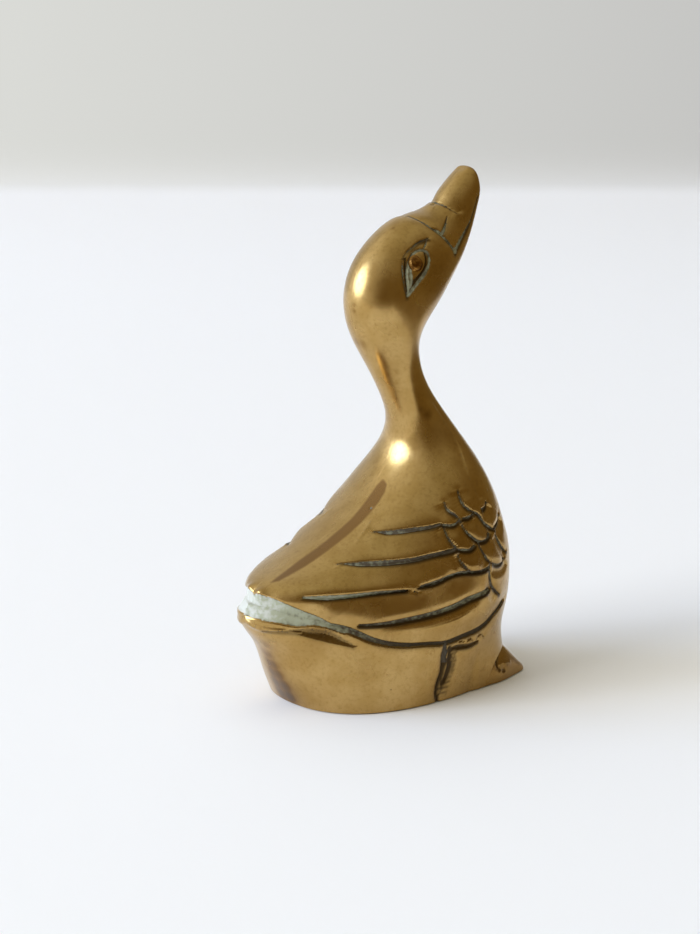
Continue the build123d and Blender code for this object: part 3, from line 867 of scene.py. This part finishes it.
def half_casting(name, hand, wobble):
    """One half of the duck, with its chasing, its hollow and its flat face on the middle. The
    seam's filler takes on its outer points, their normals and their fields."""
    depth, filled, pale, groove_shade = chase(SKIN, LINES, wobble)
    depth = depth + hand_finish(SKIN * np.array([1, hand, 1])) - toe_push(toe_distance(SKIN))
    for place, size, sunk in FORM_DENTS:
        depth += sunk * bell(SKIN, place, size)
    if hand > 0:
        pale = pale + LEFT_PALENESS
    else:
        for place, size, sunk, paleness in PIT_PLACES:
            apart = np.linalg.norm(SKIN - place, axis=2) / size
            depth += sunk * np.exp(-(apart**2))
            if sunk > 0:
                edge = (PIT_EDGE - apart) * size
                pale = np.where(edge > filled, paleness, pale)
                filled = np.maximum(filled, edge)
    skin = SKIN - depth[:, :, None] * SKIN_NORMALS
    skin[0, :, 2] = 0
    skin[:, 0, 1] = skin[:, -1, 1] = -SEAM / 2
    skin[-1, :, 1] = -SEAM / 2
    normals = grid_normals(skin)
    side = np.array([1, -hand, 1])
    spill = spill_edge(skin * side, normals * side)
    # Tarnish, with painted shade and the stern's painted dark reflection
    stain_and_shade = tarnish_and_shade(skin, STERN_REFLECTION_PLACES + (TARNISH_AND_SHADE_PLACES if hand < 0 else TARNISH_AND_SHADE_PLACES[:LEFT_SPOTS]))
    first_inner = int(np.searchsorted(np.min(SKIN[:, :, 2], axis=1), PLATE_THICKNESS))
    last_inner = int(np.searchsorted(STATIONS, PLACES[int(HOLLOW_SHARES[-1][0])]))
    picks = np.arange(first_inner, last_inner + 1, HOLLOW_ROW_STEP)
    inner, top = hollow_grid(STATIONS[picks], COLUMNS)
    rim = outline_points(FORM[1:2], RIM_WIDTH, 1.0, COLUMNS)
    ledge = rim + np.array([0, 0, PLATE_THICKNESS])
    chain = np.concatenate([skin[::-1], rim, ledge, inner, top])
    quads, flats = half_faces(len(skin), first_inner, picks, chain.shape[1])
    smooth_count = (len(skin) - 1) * (chain.shape[1] - 1)
    faces = [face[::-hand] for face in (*quads.tolist(), *flats)]
    fields = dict(zip(BARE_METAL, (filled, pale, groove_shade, spill, stain_and_shade)))
    rest = chain[len(skin):]
    all_normals = np.concatenate([normals[::-1], 0 * rest])
    piece = build_mesh(name, chain * side, faces, smooth_count, all_normals * side, {
        label: np.concatenate([field[::-1], 0 * rest[:, :, 0] + BARE_METAL[label]])
        for label, field in fields.items()
    })
    return piece, skin * side, normals * side, fields


def tube(name, points, fields=None, crisp=None):
    """A closed piece from rings of points, with a flat face at each end and all faces turned
    outwards. Edges sharper than an angle in degrees stay crisp, and all of them without one."""
    number = np.arange(points.shape[0] * points.shape[1]).reshape(points.shape[:2])
    turned = np.roll(number, -1, axis=1)
    quads = np.stack([number[:-1], number[1:], turned[1:], turned[:-1]], axis=-1)
    piece = build_mesh(name, points, [*quads.reshape(-1, 4), number[0], number[-1][::-1]],
                       fields=fields)
    bpy.context.view_layer.objects.active = piece
    bpy.ops.object.select_all(action="DESELECT")
    piece.select_set(True)
    bpy.ops.object.mode_set(mode="EDIT")
    bpy.ops.mesh.select_all(action="SELECT")
    bpy.ops.mesh.normals_make_consistent(inside=False)
    bpy.ops.object.mode_set(mode="OBJECT")
    mesh = piece.data
    mesh.polygons.foreach_set("use_smooth", np.full(len(mesh.polygons), crisp is not None))
    if crisp is not None:
        mesh.set_sharp_from_angle(angle=radians(crisp))
    return piece


# How deep the filler's ribbon goes, in millimetres
FILLER_DEPTH = 0.9


def seam_filler(name, right_skin, right_normals, fields, left_skin):
    """The filler between the halves: a flat ribbon up the front line and down the back line,
    flush with both skins, with its inner edge a little under them. Beside the plate it is as
    deep as the rim is wide."""
    last = len(right_skin) - 1

    def path(grid):
        """Both seam columns of a grid as one line, from the front foot over the bill's tip."""
        return np.concatenate([grid[:last, 0], grid[last - 1::-1, -1]])

    right_edge, left_edge = path(right_skin), path(left_skin)
    inward = unit(path(right_normals) * np.array([1, 0, 1]))
    middle = (right_edge + left_edge) / 2
    low = middle[:, 2] < PLATE_THICKNESS
    deep = np.where(low, RIM_WIDTH / np.abs(inward[:, 0]), FILLER_DEPTH)[:, None] * inward
    ribbon = np.stack([
        right_edge, middle, left_edge, left_edge - deep, right_edge - deep
    ], axis=1)
    ribbon[0, :, 2] = ribbon[-1, :, 2] = 0
    return tube(name, ribbon, {
        label: np.repeat(path(field), ribbon.shape[1]) for label, field in fields.items()
    })


# The toe's surface
TOE_STATIONS = 70
TOE_CORNERS = 44
TOE_DRAWS_IN = 0.97  # share of the length from which the tip draws in,
TOE_BLUNT = 0.15  # down to this share of its size
TOE_SEAT = 0.08  # how much higher the base lies inside the casting,
TOE_SEAT_EDGE = 0.3  # from this far outside it on,
TOE_SEAT_FADE = 0.5  # and over this stretch, all in millimetres
TOE_BROWN = 0.6  # brown on its sides, darker towards the bottom,
TOE_BROWN_HEIGHTS = (2.4, 5.4)  # which fades between these heights


def skin_distance(points):
    """Distance of points from the right half's skin, along the normal of the nearest of every
    third of its points, negative inside it."""
    near = (SKIN[:, :, 2] < 2 * TOE_HEIGHT) & (SKIN[:, :, 0] > 0)
    skin, normals = SKIN[near][::3], SKIN_NORMALS[near][::3]
    flat = points.reshape(-1, 3)
    apart = np.sum(flat**2, axis=1)[:, None] + np.sum(skin**2, axis=1) - 2 * flat @ skin.T
    nearest = np.argmin(apart, axis=1)
    distance = np.sum((flat - skin[nearest]) * normals[nearest], axis=1)
    return distance.reshape(points.shape[:-1])


def toe(name, hand):
    """A toe: D-shaped sections from its root to its tip, each an arch over a flat base, and a
    few more that draw in at the tip and close it. Inside the casting its base lies a little
    higher, so that it stays off the rim and the plate."""
    along = np.linspace(0, 1, TOE_STATIONS)
    half, top, side = toe_sections(along)
    top = top * TOE_ARCH_SHARE
    past = ((along - TOE_DRAWS_IN) / (1 - TOE_DRAWS_IN)).clip(0, 1)
    tip = TOE_BLUNT + (1 - TOE_BLUNT) * np.sqrt(1 - past**2)
    half, top = half * tip, top * tip
    at = np.linspace(0, 1, TOE_CORNERS)[None]
    half, top = half[:, None], top[:, None]
    aside = bezier(-half, -half, half, half, at)
    up = bezier(0 * top, top, top, 0 * top, at)
    x = LENGTH / 2 - (1 - along[:, None]) * TOE_LENGTH + 0 * at
    y = -side[:, None] + aside
    points = np.stack([x, y, up], axis=2)
    radial = unit(np.stack([0 * x, aside, up], axis=2))
    distance = skin_distance(points)
    points += toe_push(distance)[:, :, None] * radial
    uneven = hand_finish(points * np.array([1, hand, 1]))
    points[:, 1:-1, 2] -= uneven[:, 1:-1] * smooth_step(0, 1, points[:, 1:-1, 2])
    own_lines = chased_lines(finder(points, radial), TOE_LINES)
    depth, filled, pale, groove_shade = chase(points, [*LINES, *own_lines], no_wobble)
    points -= depth[:, :, None] * radial
    inside = TOE_BLEND / 4 + TOE_SEAT_EDGE - distance
    lift = TOE_SEAT * smooth_step(0, TOE_SEAT_FADE, inside)
    points[:, :, 2] = np.maximum(points[:, :, 2], lift)
    stain_and_shade = TOE_BROWN * (1 - smooth_step(*TOE_BROWN_HEIGHTS, points[:, :, 2]))
    fields = dict(zip(BARE_METAL, (filled, pale, groove_shade, 0 * groove_shade + BARE_METAL["spill"], stain_and_shade)))
    return tube(name, points * np.array([1, -hand, 1]), fields, 50.0)


# The eye pins, in millimetres and degrees
EYE_DIAMETER = 2.6
EYE_DOME_DIAMETER = 2.1
EYE_DOME_HEIGHT = 0.5
EYE_PIN_DEPTH = 3.0
EYE_RISE = 21.0  # how far the pin points up,
EYE_BACK = 15.0  # and back from square to the side
EYE_SHARES = (0.585, 0.875, 0.836)  # place by the length, half the head's width and the height
EYE_OVAL = 1.12  # how much taller than wide it is
EYE_SEAT = 0.12  # how deep the shoulder round the dome sits
EYE_WEAR = 0.9  # the power that makes the dome a little flat
EYE_FLAT = 0.02  # radius of the last ring, on top
EYE_RINGS = 14
EYE_CORNERS = 40


def eye_pin(name, hand):
    """An eye: a domed head on a round pin, turned about the socket's direction. The dome is a
    part of a ball, worn a little flat on top, and a touch taller than wide."""
    rise, back = radians(EYE_RISE), radians(EYE_BACK)
    outward = np.array([-sin(back) * cos(rise), -cos(back) * cos(rise), sin(rise)])
    across = np.array([cos(back), -sin(back), 0])
    up = np.cross(outward, across)
    up = up if up[2] > 0 else -up
    centre = np.array([
        (EYE_SHARES[0] - 1 / 2) * LENGTH, -EYE_SHARES[1] * HEAD_WIDTH / 2,
        EYE_SHARES[2] * HEIGHT,
    ])
    turn = np.linspace(0, pi / 2, EYE_RINGS)
    radius = np.concatenate([
        [EYE_DIAMETER / 2, EYE_DIAMETER / 2], EYE_DOME_DIAMETER / 2 * np.cos(turn)
    ])
    dome = EYE_DOME_HEIGHT * np.sin(turn) ** EYE_WEAR
    rise = np.concatenate([[-EYE_PIN_DEPTH, -EYE_SEAT], dome])
    radius[-1] = EYE_FLAT
    around = np.linspace(0, 2 * pi, EYE_CORNERS, endpoint=False)
    ring = np.cos(around)[:, None] * across + EYE_OVAL * np.sin(around)[:, None] * up
    points = centre + radius[:, None, None] * ring[None] + rise[:, None, None] * outward
    return tube(name, points * np.array([1, -hand, 1]), crisp=60.0)


# Colours, as linear light, and the dull coat of old handling on brass
BRASS_BRIGHT = (0.53, 0.345, 0.122, 1)
BRASS_WORN = (0.455, 0.283, 0.087, 1)
BRASS_BROWN = (0.24, 0.12, 0.022, 1)
FILLER_BROWN = (0.25, 0.132, 0.038, 1)
RESIDUE_PALE = (0.33, 0.345, 0.24, 1)
RESIDUE_WHITE = (0.48, 0.485, 0.425, 1)
RESIDUE_MID = (0.09, 0.072, 0.046, 1)
# Painted shade of the grooves' walls, at the residue's edge
GROOVE_WALL_SHADE = (0.022, 0.016, 0.008, 1)
# Painted shade on the lower sides of the chased lines
PAINTED_SHADE_BROWN = (0.035, 0.019, 0.005, 1)
# Painted dark reflection down the stern
STERN_REFLECTION_BROWN = (0.12, 0.075, 0.04, 1)
EYE_BRIGHT = (0.34, 0.17, 0.04, 1)
EYE_DARK = (0.15, 0.065, 0.014, 1)
SHEET_BRASS = (0.52, 0.34, 0.12, 1)
SHEET_BROWN = (0.30, 0.17, 0.05, 1)
SOLDER_GREY = (0.40, 0.39, 0.36, 1)
SOLDER_DARK = (0.16, 0.155, 0.14, 1)
COAT = 0.15
COAT_ROUGHNESS = 0.3
# Half the width of the spill's soft edge, in pixels
SPILL_EDGE = 1.3


class Nodes:
    """A tree of nodes that is built up step by step, from places or directions."""

    def __init__(self, tree, coords):
        self.tree = tree
        self.coords = self.add("ShaderNodeTexCoord").outputs[coords]

    def add(self, kind, **settings):
        """A new node with its settings."""
        node = self.tree.nodes.new(kind)
        for setting, value in settings.items():
            setattr(node, setting, value)
        return node

    def put(self, socket, value):
        """Links an output to a socket, or sets a plain value on it."""
        if isinstance(value, bpy.types.NodeSocket):
            self.tree.links.new(value, socket)
        else:
            socket.default_value = value

    def along(self, direction):
        """How far the place or the direction goes along a given direction."""
        node = self.add("ShaderNodeVectorMath", operation="DOT_PRODUCT")
        self.put(node.inputs[0], self.coords)
        node.inputs[1].default_value = tuple(direction)
        return node.outputs["Value"]

    def span(self, value, low, high, to_low=0.0, to_high=1.0, way="SMOOTHSTEP"):
        """A value between low and high, carried over to one between two others."""
        node = self.add("ShaderNodeMapRange", interpolation_type=way)
        for socket, number in zip(("Value", "From Min", "From Max", "To Min", "To Max"),
                                  (value, low, high, to_low, to_high)):
            self.put(node.inputs[socket], number)
        return node.outputs["Result"]

    def math(self, operation, first, second=0.0):
        """Arithmetic on one or two values."""
        node = self.add("ShaderNodeMath", operation=operation)
        self.put(node.inputs[0], first)
        self.put(node.inputs[1], second)
        return node.outputs[0]

    def mix(self, share, first, second, blend="MIX"):
        """A colour between two, or their sum, by a share."""
        node = self.add("ShaderNodeMix", data_type="RGBA", blend_type=blend)
        for number, value in zip((0, 6, 7), (share, first, second)):
            self.put(node.inputs[number], value)
        return node.outputs[2]


class Finish(Nodes):
    """A node material."""

    def __init__(self, name):
        self.material = bpy.data.materials.new(name)
        self.material.use_nodes = True
        super().__init__(self.material.node_tree, "Object")

    def noise(self, size, detail=3.0, stretch=None):
        """Soft mottling with spots about as large as size, in millimetres."""
        coords = self.coords
        if stretch is not None:
            mapping = self.add("ShaderNodeMapping")
            self.put(mapping.inputs["Vector"], coords)
            mapping.inputs["Scale"].default_value = stretch
            coords = mapping.outputs["Vector"]
        node = self.add("ShaderNodeTexNoise")
        self.put(node.inputs["Vector"], coords)
        node.inputs["Scale"].default_value = 1 / (size * MILLIMETRE)
        node.inputs["Detail"].default_value = detail
        return node.outputs["Fac"]

    def field(self, name):
        """A value that the mesh carries."""
        return self.add("ShaderNodeAttribute", attribute_name=name).outputs["Fac"]

    def bump(self, height, distance, below=None):
        """A fine relief of the given height in millimetres, over another one."""
        node = self.add("ShaderNodeBump")
        self.put(node.inputs["Height"], height)
        node.inputs["Distance"].default_value = distance * MILLIMETRE
        if below is not None:
            self.put(node.inputs["Normal"], below)
        return node.outputs["Normal"]

    def finish(self, **sockets):
        """Sets the shader's sockets by their names, with underscores for blanks."""
        shader = self.tree.nodes["Principled BSDF"]
        for name, value in sockets.items():
            self.put(shader.inputs[name.replace("_", " ")], value)
        return self.material


def add_residue(brass, colour, rough):
    """Grey-green residue in the chased lines, over a colour and a roughness. It covers the metal
    from its edge on, where it is painted dark as the shade of the groove's walls, and has its own
    colour from about 0.25 mm inwards. The last value is how far the metal is bare."""
    speckle = brass.span(brass.noise(0.45, 2.0), 0.3, 0.7, -0.05, 0.05)
    edge = brass.math("ADD", brass.field("filled"), speckle)
    fill = brass.span(edge, 0.0, 0.13)
    tone = brass.span(brass.noise(0.8, 3.0), 0.32, 0.68, -0.26, 0.22)
    paleness = brass.math("ADD", brass.field("pale"), tone)
    # The residue's edge is painted dark: the shade of the groove's walls
    residue = brass.mix(brass.span(edge, 0.06, 0.26), GROOVE_WALL_SHADE, RESIDUE_MID)
    body = brass.math("MULTIPLY", brass.span(paleness, 0.3, 1.0), brass.span(edge, 0.05, 0.22))
    residue = brass.mix(body, residue, RESIDUE_PALE)
    residue = brass.mix(brass.span(paleness, 1.05, 1.6), residue, RESIDUE_WHITE)
    colour = brass.mix(fill, colour, residue)
    rough = brass.math("MAXIMUM", rough, brass.math("MULTIPLY", fill, 0.75))
    return colour, rough, brass.math("SUBTRACT", 1.0, brass.math("MULTIPLY", fill, 0.92))


def add_stain_and_shade(brass, colour, stain_and_shade):
    """Brown tarnish and painted shade over a colour, darker still where it is strongest, which is
    the stern's painted dark reflection.
    """
    colour = brass.mix(stain_and_shade, colour, BRASS_BROWN)
    return brass.mix(brass.span(stain_and_shade, 0.7, 1.5, 0.0, 0.8), colour, STERN_REFLECTION_BROWN)


def add_spill(brass, colour):
    """The brown filler that was spilled over the back, with a soft edge, over a colour."""
    spill = brass.span(brass.field("spill"), -SPILL_EDGE, SPILL_EDGE)
    return brass.mix(spill, colour, FILLER_BROWN)


def finish_brass(brass, colour, rough, **sockets):
    """Residue over a colour and a roughness, and a thin dull coat over all."""
    colour, rough, bare = add_residue(brass, colour, rough)
    return brass.finish(Base_Color=colour, Metallic=bare, Roughness=rough,
                        Coat_Weight=COAT, Coat_Roughness=COAT_ROUGHNESS, **sockets)


def cast_brass():
    """Cast brass, long handled: softly mottled, browner in patches, with painted shade on the lower
    sides of the chased lines and residue in them."""
    brass = Finish("cast_brass_chased")
    mottle = brass.noise(4.5, 4.0)
    grain = brass.noise(0.6, 2.0)
    cloud = brass.noise(15.0, 2.0)
    colour = brass.mix(brass.span(mottle, 0.36, 0.66), BRASS_BRIGHT, BRASS_WORN)
    colour = brass.mix(brass.span(grain, 0.46, 0.78, 0.0, 0.3), colour, BRASS_BROWN)
    patches = brass.span(cloud, 0.5, 0.74, 0.0, 0.25)
    # Tarnish, with its painted shade and dark reflections, and the stern's painted dark reflection
    colour = add_stain_and_shade(brass, colour, brass.math("MAXIMUM", patches, brass.field("stain_and_shade")))
    colour = add_spill(brass, colour)
    # Painted shade on the lower sides of the chased lines
    groove_shade = brass.field("groove_shade")
    colour = brass.mix(brass.span(groove_shade, 0.05, 0.85, 0.0, 0.94), colour, PAINTED_SHADE_BROWN)
    rough = brass.span(brass.noise(6.0, 3.0), 0.35, 0.7, 0.2, 0.3)
    rough = brass.math("MAXIMUM", rough, brass.math("MULTIPLY", groove_shade, 0.5))
    relief = brass.bump(brass.noise(1.6, 2.0), 0.008)
    relief = brass.bump(brass.noise(0.25, 2.0), 0.0012, relief)
    return finish_brass(brass, colour, rough, Normal=relief)


def filler_metal():
    """The filler in the seam: brown where it spilled, and dressed to brass elsewhere."""
    filler = Finish("seam_filler_brass")
    mottle = filler.noise(3.2, 5.0)
    colour = filler.mix(filler.span(mottle, 0.35, 0.68), BRASS_BRIGHT, BRASS_WORN)
    # Tarnish with painted shade and the stern's painted dark reflection, as on the halves
    colour = add_stain_and_shade(filler, add_spill(filler, colour), filler.field("stain_and_shade"))
    rough = filler.span(filler.noise(6.0, 3.0), 0.35, 0.7, 0.2, 0.3)
    return finish_brass(filler, colour, rough)


def plain_metal(name, mottle, share, bright, dark, rough_mottle, rough, relief=0.0):
    """Metal of two tones, a bright and a dark one, mixed by a noise between two of its values.
    Another noise, which can be the same, sets how rough it is, and the first gives a relief."""
    metal = Finish(name)
    tone = metal.noise(*mottle)
    colour = metal.mix(metal.span(tone, *share), bright, dark)
    rough = metal.span(metal.noise(*rough_mottle), *rough)
    relief = {"Normal": metal.bump(tone, relief)} if relief else {}
    return metal.finish(Base_Color=colour, Metallic=1.0, Roughness=rough, **relief)


def eye_brass():
    """The eye pins: redder brass, mottled dark."""
    return plain_metal("eye_pin_brass", (0.8, 3.0), (0.4, 0.62), EYE_BRIGHT, EYE_DARK,
                       (0.6, 2.0), (0.35, 0.65, 0.28, 0.42))


def ground_sheet():
    """The plate of the underside: sheet brass, rubbed flat with long scratches."""
    scratches = (1.0, 4.0, (0.12, 1.6, 1.0))
    return plain_metal("plate_sheet_brass", scratches, (0.4, 0.66), SHEET_BRASS, SHEET_BROWN,
                       scratches, (0.35, 0.7, 0.26, 0.45), 0.01)


def soft_solder():
    """The ring of solder: dull grey, rubbed with the plate."""
    return plain_metal("ring_soft_solder", (0.8, 3.0), (0.4, 0.65), SOLDER_GREY, SOLDER_DARK,
                       (0.8, 3.0), (0.3, 0.7, 0.38, 0.55))


def dress(piece, material, replaced=None):
    """Gives a piece its material, and says what it rides on, replaces and is made of."""
    piece.data.materials.clear()
    piece.data.materials.append(material)
    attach(piece, "root")
    if replaced:
        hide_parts(replaced)


def make_duck():
    """All pieces of the duck with their finishes."""
    brass = cast_brass()
    right, *right_side = half_casting("right_casting_chased", -1, no_wobble)
    left, left_skin, *_ = half_casting("left_casting_chased", 1, hand_wobble)
    dress(right, brass, "right_half_casting")
    dress(left, brass, "left_half_casting")
    filler = seam_filler("seam_filler_ribbon", *right_side, left_skin)
    dress(filler, filler_metal(), "seam_braze")
    dress(toe("right_toe", -1), brass, "right_foot")
    dress(toe("left_toe", 1), brass, "left_foot")
    pins = eye_brass()
    dress(eye_pin("right_eye_pin", -1), pins, "right_eye")
    dress(eye_pin("left_eye_pin", 1), pins, "left_eye")
    for node, material in (("base_plate", ground_sheet()), ("base_solder", soft_solder())):
        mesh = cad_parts[node].data
        mesh.materials.clear()
        mesh.materials.append(material)


# The stage, in metres, by right and away from the duck: a white table that widens to the back, and
# a grey wall behind it
TABLE_LEFT = -0.9
TABLE_RIGHT_NEAR = 0.088
TABLE_RIGHT_FAR = 0.148
TABLE_FRONT = -0.34
WALL_AWAY = 0.62
WALL_RIGHT = 0.30
WALL_HEIGHT = 0.9
BEND_RADIUS = 0.012
BEND_STEPS = 12
TABLE_LEVEL = -0.0002
TABLE_WHITE = (0.88, 0.885, 0.90, 1)
# The wall's grey, with painted light that is lighter at the left
WALL_LEFT_GREY = (0.70, 0.705, 0.675, 1)
WALL_RIGHT_GREY = (0.565, 0.565, 0.55, 1)
WALL_GRADE = 0.14
EDGE_START = 0.585
EDGE_END = 0.652


def stage():
    """Table and wall as one sheet: a profile from the front over a small bend and up the wall,
    carried to both sides, square to the photograph's view."""
    turn = np.linspace(0, pi / 2, BEND_STEPS)
    away = np.concatenate([[TABLE_FRONT, WALL_AWAY - BEND_RADIUS],
                           WALL_AWAY + BEND_RADIUS * np.sin(turn), [WALL_AWAY + BEND_RADIUS]])
    up = np.concatenate([[0, 0], BEND_RADIUS * (1 - np.cos(turn)), [WALL_HEIGHT]])
    sides = np.full((len(away), 2), (TABLE_LEFT, WALL_RIGHT))
    sides[:2, 1] = TABLE_RIGHT_NEAR, TABLE_RIGHT_FAR
    points = (
        -away[:, None, None] * LEVEL_BACK
        + sides[:, :, None] * RIGHT
        + (up + TABLE_LEVEL)[:, None, None] * np.array([0, 0, 1])
    )
    number = np.arange(points.shape[0] * 2).reshape(-1, 2)
    quads = np.stack([number[:-1, 0], number[:-1, 1], number[1:, 1], number[1:, 0]], axis=-1)
    sheet = build_mesh("table_and_wall", points / MILLIMETRE, quads.tolist())
    sheet.data.materials.append(stage_paint())


def stage_paint():
    """Matt white on the table. On the wall, grey that eyes and reflections see at one level, with
    painted light lighter at the left, and a blurred lower edge: its place is the sum of away and
    up."""
    paint = Finish("table_white_wall_grey")
    wall = paint.span(paint.along((0, 0, 1) - LEVEL_BACK), EDGE_START, EDGE_END)
    path = paint.add("ShaderNodeLightPath")
    seen = paint.math("MAXIMUM", path.outputs["Is Camera Ray"], path.outputs["Is Glossy Ray"])
    glow = paint.math("MULTIPLY", wall, seen)
    colour = paint.mix(glow, TABLE_WHITE, (0, 0, 0, 1))
    # Painted light: the wall's grey is lighter at the left
    grade = paint.span(paint.along(RIGHT), -WALL_GRADE, WALL_GRADE, way="LINEAR")
    grey = paint.mix(grade, WALL_LEFT_GREY, WALL_RIGHT_GREY)
    return paint.finish(Base_Color=colour, Roughness=0.9, Specular_IOR_Level=0.0,
                        Emission_Color=grey, Emission_Strength=glow)


# The room's light by direction: azimuths are from the camera's side to the right, in degrees. The
# powers say how fast the bright side and the ceiling fall off, and the softness is the share of the
# window's size over which its edge fades, inwards and outwards.
ROOM_DARK = (0.215, 0.155, 0.058, 1)
ROOM_BRIGHT = (1.15, 1.19, 1.22, 1)
ROOM_BRIGHT_AZIMUTH = -106.0
ROOM_BRIGHT_POWER = 1.15
CEILING = (0.56, 0.55, 0.45, 1)
CEILING_POWER = 3.0
WINDOW_LIGHT = (4.3, 5.6, 8.4, 1)
WINDOW_AZIMUTH = -87.0
WINDOW_HALF_WIDTH = 20.0
WINDOW_ELEVATION = 18.0
WINDOW_HALF_HEIGHT = 17.0
WINDOW_SOFTNESS = 0.3

# The lamps: places by right, away and up, width and height, in metres, and power in watts. The
# first casts the table's soft shadow, the second lightens it from above.
WINDOW_LAMP = ((-1.80, -0.95, 0.85), 1.2, 0.9, 32.0)
CEILING_LAMP = ((0.0, 0.0, 1.4), 1.6, 1.6, 2.8)


def room():
    """Light of the room from the world: dark and warm to the right and at the camera's side,
    bright to the left with a window in it, and a mid ceiling."""
    world = bpy.data.worlds.new("plain_room")
    bpy.context.scene.world = world
    world.use_nodes = True
    nodes = Nodes(world.node_tree, "Generated")
    math = nodes.math

    def share_off(angle, middle, half):
        """Square of the step from a middle angle, as a share of half an angle."""
        step = math("DIVIDE", math("SUBTRACT", angle, radians(middle)), radians(half))
        return math("MULTIPLY", step, step)

    azimuth = math("ARCTAN2", nodes.along(RIGHT), nodes.along(LEVEL_BACK))
    elevation = math("ARCSINE", nodes.along((0, 0, 1)))
    facing = math("COSINE", math("SUBTRACT", azimuth, radians(ROOM_BRIGHT_AZIMUTH)))
    bright = math("POWER", math("MAXIMUM", facing), ROOM_BRIGHT_POWER)
    overhead = math("POWER", math("MAXIMUM", math("SINE", elevation)), CEILING_POWER)
    colour = nodes.mix(bright, ROOM_DARK, ROOM_BRIGHT)
    colour = nodes.mix(overhead, colour, CEILING)
    off = math("SQRT", math(
        "ADD",
        share_off(azimuth, WINDOW_AZIMUTH, WINDOW_HALF_WIDTH),
        share_off(elevation, WINDOW_ELEVATION, WINDOW_HALF_HEIGHT),
    ))
    window = nodes.span(off, 1 + WINDOW_SOFTNESS, 1 - WINDOW_SOFTNESS)
    colour = nodes.mix(window, colour, WINDOW_LIGHT, "ADD")
    nodes.put(world.node_tree.nodes["Background"].inputs["Color"], colour)


def lamp(name, place, width, height, power):
    """A lamp that lights the matt surfaces and isn't mirrored in the brass."""
    light = bpy.data.lights.new(name, "AREA")
    light.shape = "RECTANGLE"
    light.size, light.size_y = width, height
    light.energy = power
    source = put_in_scene(name, light)
    where = Vector(place[0] * RIGHT - place[1] * LEVEL_BACK)
    where.z = place[2]
    source.location = where
    source.rotation_euler = where.to_track_quat("Z", "Y").to_euler()
    source.visible_glossy = False


def photo_camera():
    """The photograph's camera."""
    lens = bpy.data.cameras.new("photo_camera")
    lens.sensor_fit = "VERTICAL"
    lens.sensor_height = 24.0
    lens.lens = lens.sensor_height / 2 / tan(radians(CAMERA_FIELD / 2))
    lens.clip_start, lens.clip_end = 0.01, 20.0
    camera = put_in_scene("photo_camera", lens)
    axes = Matrix((RIGHT, UP, BACK)).transposed()
    camera.matrix_world = Matrix.Translation(Vector(CAMERA) * MILLIMETRE) @ axes.to_4x4()
    bpy.context.scene.camera = camera


make_duck()
stage()
room()
lamp("window_lamp", *WINDOW_LAMP)
lamp("ceiling_lamp", *CEILING_LAMP)
photo_camera()
bpy.context.scene.view_settings.view_transform = "Standard"
